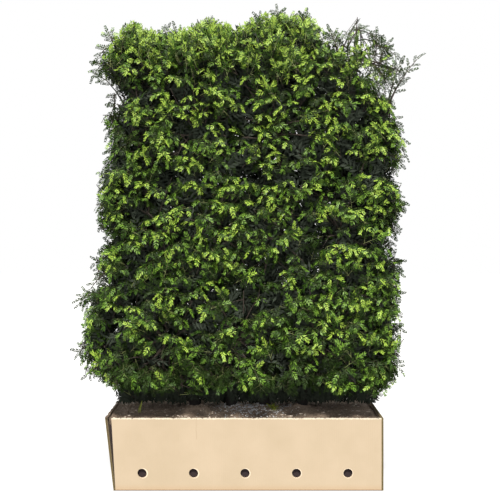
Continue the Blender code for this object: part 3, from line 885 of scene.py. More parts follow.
def stands_out(points, inset=0.0):
    """How far points stand out of the clipped outline, in metres, and less than 0 inside it.

    The outline's ends and top may be set in, to leave them to the longest shoots.
    """
    x, y, z = points[..., 0], points[..., 1], points[..., 2]
    left, right = (np.interp(z, *np.transpose(reach)) for reach in (LEFT_REACH, RIGHT_REACH))
    past_top = z - np.interp(x, *np.transpose(TOP_OUTLINE))
    past_end = np.maximum(-x - left, x - right)
    rounding = CORNER_ROUNDING * (y / HALF_DEPTH) ** 2 + inset
    past_depth = np.abs(y) - depth_reach(x, z)
    foot = FOOT_LEVEL - FOOT_SLOPE * y + FOOT_RISE * np.minimum(y / HALF_DEPTH, 0.0) ** 2
    foot = np.maximum(foot, CROWN_FOOT)
    return np.maximum.reduce([past_end + rounding, past_top + rounding, past_depth, foot - z])


def storey_level(index):
    """The sloping height between two storeys, as a function of x."""
    return lambda x: STOREY_HEIGHTS[index] + STOREY_SLOPES[index] * x


def fixed(value):
    """A function that gives one value everywhere."""
    return lambda *_: value


def crown_front(x, z):
    return -depth_reach(x, z)


def crown_top(x):
    return along(TOP_OUTLINE, x)


class Room:
    """The room that one mass fills, which of its faces are open, and what feeds it."""

    def __init__(self, sides, depths, levels, open_faces, limb_spot, heading):
        self.west, self.east = sides
        self.front, self.back = depths
        self.floor, self.roof = levels
        self.open_faces = open_faces
        self.limb_spot = limb_spot
        self.heading = heading

    def place(self, u, v, w):
        """The point at shares u, v and w of the room's width, depth and height."""
        z = 0.5 * (self.floor(0.0) + self.roof(0.0))
        x = 0.5 * (self.west(z) + self.east(z))
        z = self.floor(x) + w * (self.roof(x) - self.floor(x))
        x = self.west(z) + u * (self.east(z) - self.west(z))
        z = self.floor(x) + w * (self.roof(x) - self.floor(x))
        near, far = self.front(x, z), self.back(x, z)
        return Vector((x, near + v * (far - near), z))

    def on(self, face, a, b):
        """The point at shares a and b across one of the room's faces."""
        return self.place(*{
            "front": (a, 0, b), "back": (a, 1, b), "west": (0, a, b),
            "east": (1, a, b), "top": (a, b, 1), "bottom": (a, b, 0),
        }[face])

    def spans(self, face):
        """Width and height across one of the room's faces."""
        return (
            (self.on(face, 1, 0.5) - self.on(face, 0, 0.5)).length,
            (self.on(face, 0.5, 1) - self.on(face, 0.5, 0)).length,
        )


def nearest_stem(spot):
    """The point on the nearest stem at the height of a spot."""
    stems = [stem_at(number, spot.z)[0] for number in range(len(STEM_FEET))]
    return min(stems, key=lambda one: abs(one.x - spot.x))


def storey_rooms():
    """The rooms in front of and behind the stems, storey by storey."""
    for storey, edges in enumerate(STOREY_EDGES):
        levels = storey_level(storey), storey_level(storey + 1)
        hang = ("bottom",) if storey == 0 else ()
        shifted = (edges[0], *(edge + BACK_SHIFT for edge in edges[1:-1]), edges[-1])
        for face, own, depths in (
            ("front", edges, (crown_front, fixed(-SLOT))),
            ("back", shifted, (fixed(SLOT), depth_reach)),
        ):
            for west, east in zip(own, own[1:]):
                sides = fixed(west), fixed(east)
                room = Room(sides, depths, levels, (face, *hang), None, OUTWARD[face])
                room.limb_spot = nearest_stem(room.place(0.5, 0.5, MASS_ROOT_SHARE))
                yield room


def cap_rooms():
    """The rooms above the stems' tips, over the whole depth."""
    last = len(CAP_EDGES) - 2
    for index, (low, high) in enumerate(zip(CAP_EDGES, CAP_EDGES[1:])):
        west = fixed(low) if index else lambda z: -along(LEFT_REACH, z)
        east = fixed(high) if index < last else lambda z: along(RIGHT_REACH, z)
        end = {0: ("west",), last: ("east",)}.get(index, ())
        yield Room(
            (west, east), (crown_front, depth_reach), (fixed(STEM_TOP), crown_top),
            ("top", "front", "back", *end), stem_at(index, STEM_TOP)[0], OUTWARD["top"],
        )


def end_rooms(side):
    """The rooms at one end, from the lowest up."""
    reach = LEFT_REACH if side < 0 else RIGHT_REACH
    levels = LEFT_LEVELS if side < 0 else RIGHT_LEVELS
    word, face = ("left", "west") if side < 0 else ("right", "east")
    inner = fixed(side * STOREY_EDGES[0][-1])
    outer = lambda z: side * along(reach, z)
    sides = (outer, inner) if side < 0 else (inner, outer)
    for index, (low, high) in enumerate(zip(levels, levels[1:])):
        hang = ("bottom",) if index == 0 else ()
        bough_low, bough_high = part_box(f"bough_{word}_{index + 1}")
        tip_x = bough_low.x if side < 0 else bough_high.x
        tip = Vector((tip_x, 0.0, bough_high.z - BOUGH_TIP_RADIUS))
        yield Room(
            sides, (crown_front, depth_reach), (fixed(low), fixed(high)),
            (face, "front", "back", *hang), tip, OUTWARD[face],
        )


# The twigs: yew shoots turn from green to brown in their second year. From each mass's stem a
# twig runs to every part of its open faces, to fewer in the thin upper right corner, and forks
# into branchlets that carry the sprays.

SEED = 27
TWIG_SPACING = 0.096
FORKS = 3
TOP_FORKS = 4
AIM_SCATTER = 0.3
MASS_STEM_KNEE = 0.03
MASS_STEM_RADIUS = 0.006
TWIG_RADIUS = 0.0030
TWIG_TIP_RADIUS = 0.0014
BRANCHLET_RADIUS = 0.0012
BRANCHLET_TIP_RADIUS = 0.0007
TWIG_INSET = 0.055
TWIG_BOW = 0.02
SPRAY_LENGTH = 0.085
SPRAY_SIZES = (0.75, 1.15)
OUTLINE_MARGINS = (-0.022, 0.010)
TRIES = 5
ARCH_SHARE = 0.6
DEPTH_SCATTER = 0.040
HOLLOWS_PER_METRE = 17.0
HOLLOW_DEPTH = 0.065
HOLLOW_FROM = -0.02
HOLLOW_FADE = 0.25
FOOT_HOLLOWING = 1.4
HOLLOW_BARE = {"front": 0.6, "bottom": 0.6, "back": 0.3, "west": 0.2, "east": 0.2, "top": 0.2}
OPEN_FOOT = 0.50
# Marked hollows in the front: x, z, half their width and half their height.
HOLLOWS = (
    (0.10, 0.70, 0.030, 0.10), (0.105, 0.50, 0.035, 0.12), (0.095, 0.35, 0.030, 0.08),
    (0.28, 0.94, 0.050, 0.045), (-0.285, 1.605, 0.045, 0.035), (-0.11, 1.59, 0.045, 0.040),
    (-0.17, 1.32, 0.055, 0.045), (-0.285, 0.81, 0.035, 0.04), (-0.17, 1.09, 0.060, 0.022),
    (0.20, 1.62, 0.040, 0.035), (0.19, 1.28, 0.040, 0.035),
)
UPRIGHT_FROM, UPRIGHT_TO = 1.52, 1.70
DROOPING_SHARE = 0.82
SIDEWAYS = (0.0, 0.9)
# What leads a spray's way in each stance: the direction, and its least and most share.
STANCES = {
    "upright": (("up", 0.7, 1.2), ("out", 0.0, 0.5)),
    "falling": (("front", -0.5, 0.8), ("up", -0.6, 0.1)),
    "drooping": (("out", 0.5, 1.0), ("up", 0.0, 0.6)),
    "rising": (("out", 0.4, 0.9), ("up", 0.3, 1.0)),
}
# How far a spray's upper side looks outward and up.
UPPER_SIDES = {"falling": (0.0, 1.0), "drooping": (0.2, 1.0), "rising": (1.0, 0.4)}
BENDS = {
    "upright": (0.05, 0.7), "falling": (0.4, 1.2), "drooping": (0.9, 1.9), "rising": (0.2, 1.0),
}
SPRAY_ROLL = 0.6
BRUSH_SHARE = 0.3
THIN_CORNER = (
    (0.26, 1.77), (0.343, 1.70), (0.408, 1.65), (0.44, 1.585), (0.488, 1.54), (0.56, 1.48),
)
THIN_TWIGS = 0.42
THIN_SPRAYS = 0.62
THIN_SHADE = 0.07
SHADE_SPRAYS = {"front": 14, "back": 11, "west": 9, "east": 9, "top": 9, "bottom": 8}
SHADE_DEPTHS = (0.06, 0.195)
SHADE_SCATTER = 0.7
SHADE_SIZES = (0.9, 1.3)
SHADE_BENDS = (0.1, 0.8)
TOP_SHADE_DROP = 0.035
FRINGE_SPRAYS = 80
FRINGE_RISE = (-0.074, -0.010)
FRINGE_REACH = (0.505, -0.085, 0.19)
FRINGE_SCATTER = 0.045
FRINGE_TURNS = (0.5, 0.3, 0.6)
FRINGE_SIZES = (0.5, 0.8)
FRINGE_BENDS = (0.1, 0.5)
FRINGE_MARGIN = 0.002
LEAFY_FRINGE = 0.13
LEAFY_FRINGE_SHARE = 0.4
# The longest shoots: the x and z of root and tip, and how high they arch.
LONG_SHOOTS = (
    ((-0.50, 1.50), (-0.614, 1.60), 0.02), ((-0.48, 0.84), (-0.575, 0.893), 0.02),
    ((-0.48, 0.83), (-0.614, 0.846), 0.03), ((-0.49, 0.81), (-0.606, 0.795), 0.03),
    ((-0.49, 0.79), (-0.571, 0.756), 0.03), ((-0.56, 0.72), (-0.677, 0.709), 0.02),
    ((-0.58, 0.50), (-0.688, 0.486), 0.02), ((-0.55, 0.43), (-0.662, 0.392), 0.02),
    ((0.515, 1.52), (0.676, 1.662), 0.02), ((0.53, 1.51), (0.613, 1.585), 0.01),
    ((0.34, 1.69), (0.429, 1.80), 0.02), ((0.38, 1.66), (0.46, 1.771), 0.02),
    ((0.47, 1.59), (0.55, 1.72), 0.02), ((0.48, 1.62), (0.50, 1.744), 0.0),
    ((0.52, 1.37), (0.621, 1.285), 0.045), ((0.52, 1.34), (0.594, 1.223), 0.045),
    ((0.53, 1.05), (0.617, 1.066), 0.02), ((0.54, 1.00), (0.597, 0.94), 0.03),
    ((0.53, 0.84), (0.605, 0.854), 0.02), ((0.53, 0.81), (0.594, 0.776), 0.03),
    ((0.34, 1.64), (0.397, 1.748), 0.0), ((0.50, 1.50), (0.593, 1.63), 0.02),
    ((0.45, 1.55), (0.535, 1.67), 0.01), ((-0.31, 1.66), (-0.306, 1.768), 0.0),
    ((-0.15, 1.70), (-0.145, 1.812), 0.0), ((0.03, 1.71), (0.045, 1.826), 0.0),
    ((0.09, 1.73), (0.108, 1.834), 0.0), ((0.21, 1.70), (0.225, 1.812), 0.0),
)
LONG_SHOOT_SPRAYS = 4
COMB_LENGTH = 0.048
LONG_SHOOT_SIZES = (0.65, 0.95)
FREE_MARGIN = 0.2
EDGE_INSET = 0.026
EDGE_PITCH = 0.050
EDGE_LEVELS = (0.37, 1.72)
EDGE_TOPS = (-0.57, 0.35)
EDGE_REACH = (-0.032, 0.008)
TOP_REACH = (-0.050, -0.008)
EDGE_SHOOT_LENGTH = (0.09, 0.15)
COMB_TILTS = (0.0, 0.5)
EDGE_DEPTH = 0.13
LONG_DEPTHS = (-0.06, 0.03)
COMBS_FROM = 1.4
SHADE_MARGIN = -0.045
SUNK_FADE = 0.075
CREST_FROM = 1.5
CREST_HEIGHT = 0.3
CREST_LIGHT = 0.34
MIDDLE_HEIGHT = 1.05
FACE_SHADE = {"bottom": 0.8, "west": 0.2, "east": 0.2}
TONE_LIMITS = (0.80, 0.45, 0.05)
PIECE_FACES = 180000


def hollow(point):
    """From 0 to 1, how deep the crown's surface is hollowed at one place."""
    value = noise.noise(point * HOLLOWS_PER_METRE + Vector((3.0, 7.0, 11.0)))
    value += FOOT_HOLLOWING * max(0.0, OPEN_FOOT - point.z)
    value = min(max((value - HOLLOW_FROM) / HOLLOW_FADE, 0.0), 1.0)
    if point.y < 0:
        for x, z, wide, high in HOLLOWS:
            away = math.hypot((point.x - x) / wide, (point.z - z) / high)
            value = max(value, min(1.0, 2.2 - 1.6 * away))
    return value


def in_thin_corner(point, below=0.0):
    """Whether a place is in the thin upper right corner, or at most this far below it."""
    return point.x > THIN_CORNER[0][0] and point.z > along(THIN_CORNER, point.x) - below


def tangent(face, rng):
    """A random level way along an open face."""
    if face in ("west", "east"):
        return Vector((0, rng.choice((-1, 1)), 0))
    if face in ("top", "bottom"):
        turn = rng.uniform(0, math.tau)
        return Vector((math.cos(turn), math.sin(turn), 0))
    return Vector((rng.choice((-1, 1)), 0, 0))


def scatter(rng, most):
    """A random vector, at most this long along each axis."""
    return Vector([rng.uniform(-most, most) for _ in range(3)])


def square_to(way, vector):
    """The part of the vector that is square to the way, at length 1."""
    return (vector - way * vector.dot(way)).normalized()


def posture(face, tip, rng):
    """How a spray stands: its way, its upper side, how far it bends, and its kind."""
    ways = {"out": OUTWARD[face], "up": UP, "front": OUTWARD["front"]}
    sideways = tangent(face, rng) * rng.uniform(*SIDEWAYS)
    height = (tip.z - UPRIGHT_FROM) / (UPRIGHT_TO - UPRIGHT_FROM)
    upright = face == "top" or rng.random() < height
    if upright:
        stance = "upright"
        sideways *= 0.7
    elif face == "bottom":
        stance = "falling"
    else:
        stance = "drooping" if rng.random() < DROOPING_SHARE else "rising"
    ahead = sideways
    for way, least, most in STANCES[stance]:
        ahead = ahead + ways[way] * rng.uniform(least, most)
    ahead.normalize()
    if upright:
        over = ways["front" if face == "top" else "out"] + tangent(face, rng) * 0.5
    else:
        out, up = UPPER_SIDES[stance]
        over = ways["out"] * out + UP * up
    bend = rng.uniform(*BENDS[stance])
    roll = rng.uniform(-SPRAY_ROLL, SPRAY_ROLL)
    kind = "brush" if upright and rng.random() < BRUSH_SHARE else "fan"
    return ahead, Matrix.Rotation(roll, 3, ahead) @ square_to(ahead, over), bend, kind


def root_of(tip, ahead, over, bend, length):
    """Where a bent spray has to start to end at its tip."""
    radius = length / bend
    return tip - ahead * (radius * math.sin(bend)) - over * (radius * (math.cos(bend) - 1))


def tone_of(sunk, face, height, rng):
    """The tone of a spray's young needles, painted light and shade: brighter at the surface, and
    near the top.
    """
    crest = max(0.0, height - CREST_FROM) / CREST_HEIGHT
    light = 1.0 - sunk / SUNK_FADE + rng.uniform(-0.3, 0.3) * (1 + crest)
    light += 0.25 * (height - MIDDLE_HEIGHT) / 0.75
    light += CREST_LIGHT * crest - 0.1 * max(0.0, OPEN_FOOT - height) / 0.15
    light -= FACE_SHADE.get(face, 0.0)
    for tone, limit in enumerate(TONE_LIMITS):
        if light > limit:
            return tone
    return len(TONE_LIMITS)


class Growth:
    """The crown as it grows: the paths of its twigs, and where every spray sits."""

    def __init__(self):
        self.mass_stems = []
        self.twigs = []
        self.branchlets = []
        self.sprays = []
        self.shade = []
        self.inner_twigs = 0

    def grow(self, room, rng):
        """Grows one mass in its room."""
        heart = room.place(0.5, 0.5, 0.5)
        knee = room.limb_spot + room.heading * MASS_STEM_KNEE
        crook = knee.lerp(heart, 0.6)
        self.mass_stems.append((room.limb_spot, knee, crook, heart))
        for face in room.open_faces:
            counts = [max(1, round(span / TWIG_SPACING)) for span in room.spans(face)]
            if face == "bottom":
                counts = [counts[0], max(2, counts[1])]
            for i in range(counts[0]):
                for j in range(counts[1]):
                    self.grow_twig(room, face, (i, j), counts, (crook, heart), rng)

    def grow_twig(self, room, face, cell, counts, limb_ends, rng):
        """One twig to its cell of an open face, with its branchlets and sprays."""
        outward = OUTWARD[face]
        shares = [
            (at + 0.5 + rng.uniform(-AIM_SCATTER, AIM_SCATTER)) / count
            for at, count in zip(cell, counts)
        ]
        aim = room.on(face, *shares)
        if in_thin_corner(aim) and rng.random() > THIN_TWIGS:
            return
        start = limb_ends[0].lerp(limb_ends[1], rng.uniform(0.2, 0.9))
        end = aim - outward * TWIG_INSET
        bow = scatter(rng, TWIG_BOW)
        path = [start, start.lerp(end, 0.35) + bow, start.lerp(end, 0.7) + bow * 0.7, end]
        self.twigs.append(path)
        forks = TOP_FORKS if face == "top" else FORKS
        for i in range(forks):
            for j in range(forks):
                a = (cell[0] + (i + rng.uniform(0.1, 0.9)) / forks) / counts[0]
                b = (cell[1] + (j + rng.uniform(0.1, 0.9)) / forks) / counts[1]
                spot = room.on(face, a, b)
                if not in_thin_corner(spot):
                    self.grow_spray(face, spot, path, rng)
                elif rng.random() < THIN_SPRAYS:
                    self.grow_spray(face, spot, path, rng, "comb")
        fringes = FRINGE_SPRAYS if face == "bottom" else 0
        for number in range(SHADE_SPRAYS[face] + fringes):
            spot = room.on(face, *(
                (at + rng.uniform(0, 1)) / count for at, count in zip(cell, counts)
            ))
            if number >= SHADE_SPRAYS[face]:
                self.grow_fringe(spot, rng)
            elif not in_thin_corner(spot, THIN_SHADE):
                self.grow_shade(face, spot, rng)

    def grow_spray(self, face, spot, path, rng, own_kind=None):
        """One spray that ends under a spot on an open face, and the branchlet to it."""
        sunken = hollow(spot)
        if rng.random() < sunken * HOLLOW_BARE[face]:
            return
        sunk = DEPTH_SCATTER * rng.random() ** 1.6 + HOLLOW_DEPTH * sunken * rng.uniform(0.4, 1.0)
        tip = spot - OUTWARD[face] * sunk
        margin = rng.uniform(*OUTLINE_MARGINS)
        for _ in range(TRIES):
            if stands_out(np.array(tip), EDGE_INSET) > margin:
                tip = tip.lerp(path[1], 0.12)
                continue
            ahead, over, bend, kind = posture(face, tip, rng)
            size = rng.uniform(*SPRAY_SIZES)
            root = root_of(tip, ahead, over, bend, SPRAY_LENGTH * size)
            arch = root + ahead * SPRAY_LENGTH * size * ARCH_SHARE
            if max(stands_out(np.array([root, arch]), EDGE_INSET)) < margin:
                break
        else:
            return
        fork = path[2].lerp(path[rng.choice((1, 3))], rng.random())
        elbow = root - ahead * (root - fork).length * 0.3
        self.branchlets.append([fork, fork.lerp(elbow, 0.6), elbow.lerp(root, 0.5), root])
        tone = tone_of(sunk, face, tip.z, rng)
        row = (*root, *ahead, *over, bend, size, margin, EDGE_INSET)
        self.sprays.append((own_kind or kind, tone, row))

    def grow_shade(self, face, spot, rng):
        """One old, shaded spray deep behind an open face."""
        outward = OUTWARD[face]
        drop = TOP_SHADE_DROP if face == "top" else 0.0
        tip = spot - outward * (rng.uniform(*SHADE_DEPTHS) + drop)
        over = (outward + scatter(rng, SHADE_SCATTER)).normalized()
        ahead = over.orthogonal().normalized()
        ahead = Matrix.Rotation(rng.uniform(0, math.tau), 3, over) @ ahead
        root = tip - ahead * SPRAY_LENGTH * 0.6
        bend, size = rng.uniform(*SHADE_BENDS), rng.uniform(*SHADE_SIZES)
        self.shade.append((*root, *ahead, *over, bend, size, SHADE_MARGIN, 0.0))

    def grow_fringe(self, spot, rng):
        """One old spray that hangs from the crown's underside to the compost."""
        scatter = [rng.uniform(-FRINGE_SCATTER, FRINGE_SCATTER) for _ in range(2)]
        tip = spot + Vector((*scatter, rng.uniform(*FRINGE_RISE)))
        length, front, back = FRINGE_REACH
        if abs(tip.x) > length or not front < tip.y < back:
            return
        turn, tip_over, lean = (rng.uniform(-most, most) for most in FRINGE_TURNS)
        over = Vector((turn, -1, tip_over)).normalized()
        ahead = square_to(over, Vector((lean, 0, -1)))
        size = rng.uniform(*FRINGE_SIZES)
        leafy = tip.y > LEAFY_FRINGE
        if leafy and rng.random() > LEAFY_FRINGE_SHARE:
            return
        if leafy:
            over = Vector((over.x, -over.y, over.z))
            ahead = Vector((ahead.x, -ahead.y, ahead.z))
        root = tip - ahead * SPRAY_LENGTH * size
        bend = rng.uniform(*FRINGE_BENDS)
        row = (*root, *ahead, *over, bend, size, FRINGE_MARGIN, 0.0)
        if leafy:
            self.sprays.append(("fan", rng.choice((0, 1, 1, 2, 2)), row))
        else:
            self.shade.append(row)

    def grow_edges(self, rng):
        """The shoots that make the crown's ragged ends and top: they droop there, or stand up."""
        # Painted shade and light: the shoots at the ends take darker tones than those along the
        # top.
        for side, reach in ((-1, LEFT_REACH), (1, RIGHT_REACH)):
            z = EDGE_LEVELS[0]
            while z < EDGE_LEVELS[1]:
                out = along(reach, z) + rng.uniform(*EDGE_REACH)
                length = rng.uniform(*EDGE_SHOOT_LENGTH)
                root = side * (out - length), z + rng.uniform(-0.02, 0.03)
                tip = side * out, z - rng.uniform(0.0, 0.05)
                y = rng.uniform(-EDGE_DEPTH, EDGE_DEPTH)
                self.grow_long(root, tip, rng.uniform(0.01, 0.035), y, (1, 2, 3, 3, 3), rng)
                z += EDGE_PITCH * rng.uniform(0.4, 1.0)
        x = EDGE_TOPS[0]
        while x < EDGE_TOPS[1]:
            top = crown_top(x) + rng.uniform(*TOP_REACH)
            root = x, top - rng.uniform(*EDGE_SHOOT_LENGTH)
            tip = x + rng.uniform(-0.035, 0.035), top
            y = rng.uniform(-EDGE_DEPTH, EDGE_DEPTH)
            self.grow_long(root, tip, 0.0, y, (0, 1, 2, 3), rng)
            x += EDGE_PITCH * rng.uniform(0.3, 0.8)

    def grow_long(self, root, tip, arch, y, tones, rng):
        """One shoot to the clipped outline or past it, from the nearest twig, with combs on it."""
        ends = [Vector((x, y, z)) for x, z in (root, tip)]
        forks = np.array([path[2] for path in self.twigs[:self.inner_twigs]])
        ends[0] = Vector(forks[np.argmin(np.linalg.norm(forks - np.array(ends[0]), axis=1))])
        ends[1] -= (ends[1] - ends[0]).normalized() * COMB_LENGTH * LONG_SHOOT_SIZES[0]
        path = [
            ends[0].lerp(ends[1], share) + Vector((0, 0, 4 * arch * share * (1 - share)))
            for share in (0.0, 1 / 3, 2 / 3, 1.0)
        ]
        self.twigs.append(path)
        tilt = rng.uniform(*COMB_TILTS)
        last = LONG_SHOOT_SPRAYS * 2 - 2
        for number in range(last + 1):
            share = COMBS_FROM + (3 - COMBS_FROM) * number / last
            step = min(int(share), 2)
            spot = path[step].lerp(path[step + 1], share - step)
            way = (path[step + 1] - path[step]).normalized()
            turn = rng.uniform(0.6, 0.9) * (number % 2 * 2 - 1) * (1 - number // last)
            over = square_to(way, Vector((0, tilt - 1, tilt)) + scatter(rng, 0.25))
            ahead = Matrix.Rotation(turn, 3, over) @ way
            size = rng.uniform(*LONG_SHOOT_SIZES)
            row = (*spot, *ahead, *over, rng.uniform(0.3, 1.1), size, FREE_MARGIN, 0.0)
            self.sprays.append(("comb", rng.choice(tones), row))


growth = Growth()
for number, room in enumerate([*storey_rooms(), *cap_rooms(), *end_rooms(-1), *end_rooms(1)]):
    growth.grow(room, random.Random(f"{SEED} {number}"))
growth.inner_twigs = len(growth.twigs)
growth.grow_edges(random.Random(f"{SEED} edges"))
for number, (root, tip, arch) in enumerate(LONG_SHOOTS):
    long_rng = random.Random(f"{SEED} long {number}")
    growth.grow_long(root, tip, arch, long_rng.uniform(*LONG_DEPTHS), (2, 3, 3), long_rng)


class Heap:
    """Points and triangles heaped up for one kind of joined mesh."""

    def __init__(self):
        self.points = []
        self.triangles = []
        self.count = 0

    def add(self, points, triangles):
        """Adds copies of one shape: points are copies x points x 3, triangles are of one copy."""
        copies, size = points.shape[:2]
        offsets = self.count + np.arange(copies)[:, None, None] * size
        self.points.append(points.reshape(-1, 3))
        self.triangles.append((triangles[None] + offsets).reshape(-1, 3))
        self.count += copies * size

    def carry(self, name, finish, slot, *nodes):
        """Joins the heap into pieces, none over the most triangles for one, that ride along."""
        points, faces = np.concatenate(self.points), np.concatenate(self.triangles)
        for number, part in enumerate(np.array_split(faces, math.ceil(len(faces) / PIECE_FACES))):
            used, part = np.unique(part, return_inverse=True)
            part = part.reshape(-1, 3)
            piece = array_mesh(f"{name}_{number + 1}", points[used], part, finish.material)
            carried(piece, slot, *nodes)


def unit(vectors):
    """The vectors at length 1."""
    return vectors / np.maximum(np.linalg.norm(vectors, axis=-1, keepdims=True), 1e-9)


def tubes(heap, paths, radii, sides):
    """Adds a tapering tube along every path, with one radius for each of its points."""
    paths = np.array([[tuple(point) for point in path] for path in paths])
    ahead = np.empty_like(paths)
    ahead[:, 1:-1] = paths[:, 2:] - paths[:, :-2]
    ahead[:, 0] = paths[:, 1] - paths[:, 0]
    ahead[:, -1] = paths[:, -1] - paths[:, -2]
    ahead = unit(ahead)
    helper = np.where(np.abs(ahead[:, :1, 2:]) > 0.8, [[[1.0, 0.0, 0.0]]], [[[0.0, 0.0, 1.0]]])
    across = unit(np.cross(ahead, helper))
    over = np.cross(ahead, across)
    angles = np.arange(sides) * math.tau / sides
    circle = (
        np.cos(angles)[:, None] * across[:, :, None] + np.sin(angles)[:, None] * over[:, :, None]
    )
    points = paths[:, :, None] + circle * np.array(radii)[None, :, None, None]
    rings = len(radii)
    faces = []
    for ring in range(rings - 1):
        for side in range(sides):
            a, b = ring * sides + side, ring * sides + (side + 1) % sides
            faces += [(a, b, b + sides), (a, b + sides, a + sides)]
    for side in range(1, sides - 1):
        last = (rings - 1) * sides
        faces.append((last, last + side, last + side + 1))
        faces.append((0, side + 1, side))
    heap.add(points.reshape(len(paths), -1, 3), np.array(faces))


twig_bark = Finish("twig_bark", (0.028, 0.020, 0.015), 0.8, 0.3)
twig_bark.speckle(90.0, (0.020, 0.014, 0.010), (0.037, 0.027, 0.020))
old_wood = Heap()
tubes(old_wood, growth.mass_stems, [MASS_STEM_RADIUS * share for share in (1, 0.95, 0.7, 0.4)], 8)
tubes(old_wood, growth.twigs, np.linspace(TWIG_RADIUS, TWIG_TIP_RADIUS, 4), 5)
tubes(old_wood, growth.branchlets, np.linspace(BRANCHLET_RADIUS, BRANCHLET_TIP_RADIUS, 4), 3)
foliage_nodes = sorted(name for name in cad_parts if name.startswith("foliage_"))
old_wood.carry("brown_twigs", twig_bark, "bark", *foliage_nodes)

# The sprays: the tips of growth, each a leading shoot with a few side shoots that droop, all set
# with two ranks of flat pointed needles. New growth is yellow-green, older needles are dark, and
# the young needles' tone is also painted light and shade, by where the spray sits.

PATTERNS = {"fan": 14, "brush": 5, "comb": 5}
NEEDLE_LENGTH = 0.0175
NEEDLE_WIDTH = 0.0048
COMB_NEEDLE_LENGTH = 0.0115
COMB_NEEDLE_WIDTH = 0.0056
PAIR_SPACING = 0.0068
NEEDLE_WIDEST = 0.42
NEEDLE_FOLD = 0.22
NEEDLE_SIZES = (0.85, 1.12)
NEEDLE_SWAY = 0.25
NEEDLE_LIFT = (-0.15, 0.32)
NEEDLE_SHIFT = 0.3
LAST_NEEDLE = 0.55
BRUSH_TURN = 1.1
SHOOT_RADIUS = 0.0009
SIDE_SHOOTS = ((0.08, 0.046), (0.26, 0.044), (0.45, 0.038), (0.62, 0.030))
SIDE_SIZES = (0.75, 1.2)
# The side shoots of each kind: their angles in degrees, how they rise and how they droop.
HABITS = {
    "fan": ((52, 75), (-0.1, 0.25), (0.7, 1.7)), "brush": ((25, 40), (-0.5, 0.5), (0.1, 0.5)),
}
# Where the needles of a shoot start, and where they turn from old to young.
BARE_SHARES = {"leader": (0.34, 0.58), "side": (0.2, 0.45), "comb": (0.05, 0.58)}
SHADE_NEEDLE_LENGTH = 0.028
SHADE_NEEDLE_WIDTH = 0.0090
SHADE_PAIRS = 9
SHADE_PATTERNS = 7
SHADE_LENGTH = 1.2 * SPRAY_LENGTH
NEEDLE_ANGLES = (66, 30)
# The needles' tones: colour, roughness and gloss.
TONES = {
    "lime": ((0.172, 0.255, 0.030), 0.5, 0.22),
    "fresh": ((0.067, 0.131, 0.011), 0.5, 0.22),
    "leaf": ((0.019, 0.046, 0.004), 0.5, 0.12),
    "deep": ((0.012, 0.024, 0.004), 0.5, 0.08),
    "shade": ((0.024, 0.030, 0.022), 0.85, 0.05),
}
OLDER = (2, 3, 3, 3)
SIDE_TONES = (0, 0, 1, 3)
DIM_SHARE = 0.3
NEEDLE_FACES = ((0, 1, 3), (0, 3, 2))
SPIKE_FACES = ((0, 1, 3), (1, 2, 3), (2, 0, 3))


def needle_points(base, ahead, over, length, width):
    """The four points of one needle: its base, its two sides and its tip, folded on its rib."""
    side = ahead.cross(over).normalized()
    middle = base + ahead * length * NEEDLE_WIDEST - over * width * NEEDLE_FOLD
    return (base, middle + side * width / 2, middle - side * width / 2, base + ahead * length)


class Shoot:
    """One shoot that droops along an arc."""

    def __init__(self, start, ahead, over, length, droop):
        self.start, self.ahead, self.over = start, ahead, over
        self.length, self.droop = length, droop

    def at(self, share):
        """Its point, its way and its upper side at one share of its length."""
        turn = self.droop * share
        radius = self.length / self.droop
        ahead, over = self.ahead, self.over
        spot = self.start + ahead * radius * math.sin(turn) - over * radius * (1 - math.cos(turn))
        way = ahead * math.cos(turn) - over * math.sin(turn)
        return spot, way, over * math.cos(turn) + ahead * math.sin(turn)

    def needles(self, first, brush, length, width, rng):
        """Its needles in pairs from a first share on, as their points and their share."""
        pairs = max(2, round(self.length * (1 - first) / PAIR_SPACING))
        for pair in range(pairs):
            share = first + (1 - first) * (pair + 0.5) / pairs
            spot, way, up = self.at(share)
            if brush:
                up = Matrix.Rotation(pair * BRUSH_TURN, 3, way) @ up
            side = way.cross(up)
            size = length * (0.6 + 0.4 * math.sin(math.pi * (0.16 + 0.74 * share)))
            size *= rng.uniform(*NEEDLE_SIZES)
            for hand in (-1, 1):
                angle = NEEDLE_ANGLES[0] + (NEEDLE_ANGLES[1] - NEEDLE_ANGLES[0]) * share
                turn = math.radians(angle) + rng.uniform(-NEEDLE_SWAY, NEEDLE_SWAY)
                ahead = way * math.cos(turn) + side * hand * math.sin(turn)
                ahead = (ahead + up * rng.uniform(*NEEDLE_LIFT)).normalized()
                over = square_to(ahead, up)
                base = spot + way * rng.uniform(-NEEDLE_SHIFT, NEEDLE_SHIFT) * PAIR_SPACING
                yield needle_points(base, ahead, over, size, width), share
        spot, way, up = self.at(1.0)
        yield needle_points(spot, way, up, length * LAST_NEEDLE, width), 1.0

    def wood(self):
        """Its green bark: a three-sided length that tapers to a point."""
        end = self.at(0.9)[0]
        ahead = (end - self.start).normalized()
        across = ahead.orthogonal().normalized()
        over = ahead.cross(across)
        ring = (
            self.start + (across * math.cos(angle) + over * math.sin(angle)) * SHOOT_RADIUS
            for angle in (0.0, math.tau / 3, 2 * math.tau / 3)
        )
        return (*ring, end)


def straight_shoot(length):
    """A leading shoot from the origin along +Y, its upper side to +Z, all but straight."""
    return Shoot(Vector(), OUTWARD["back"], UP, length, 0.01)


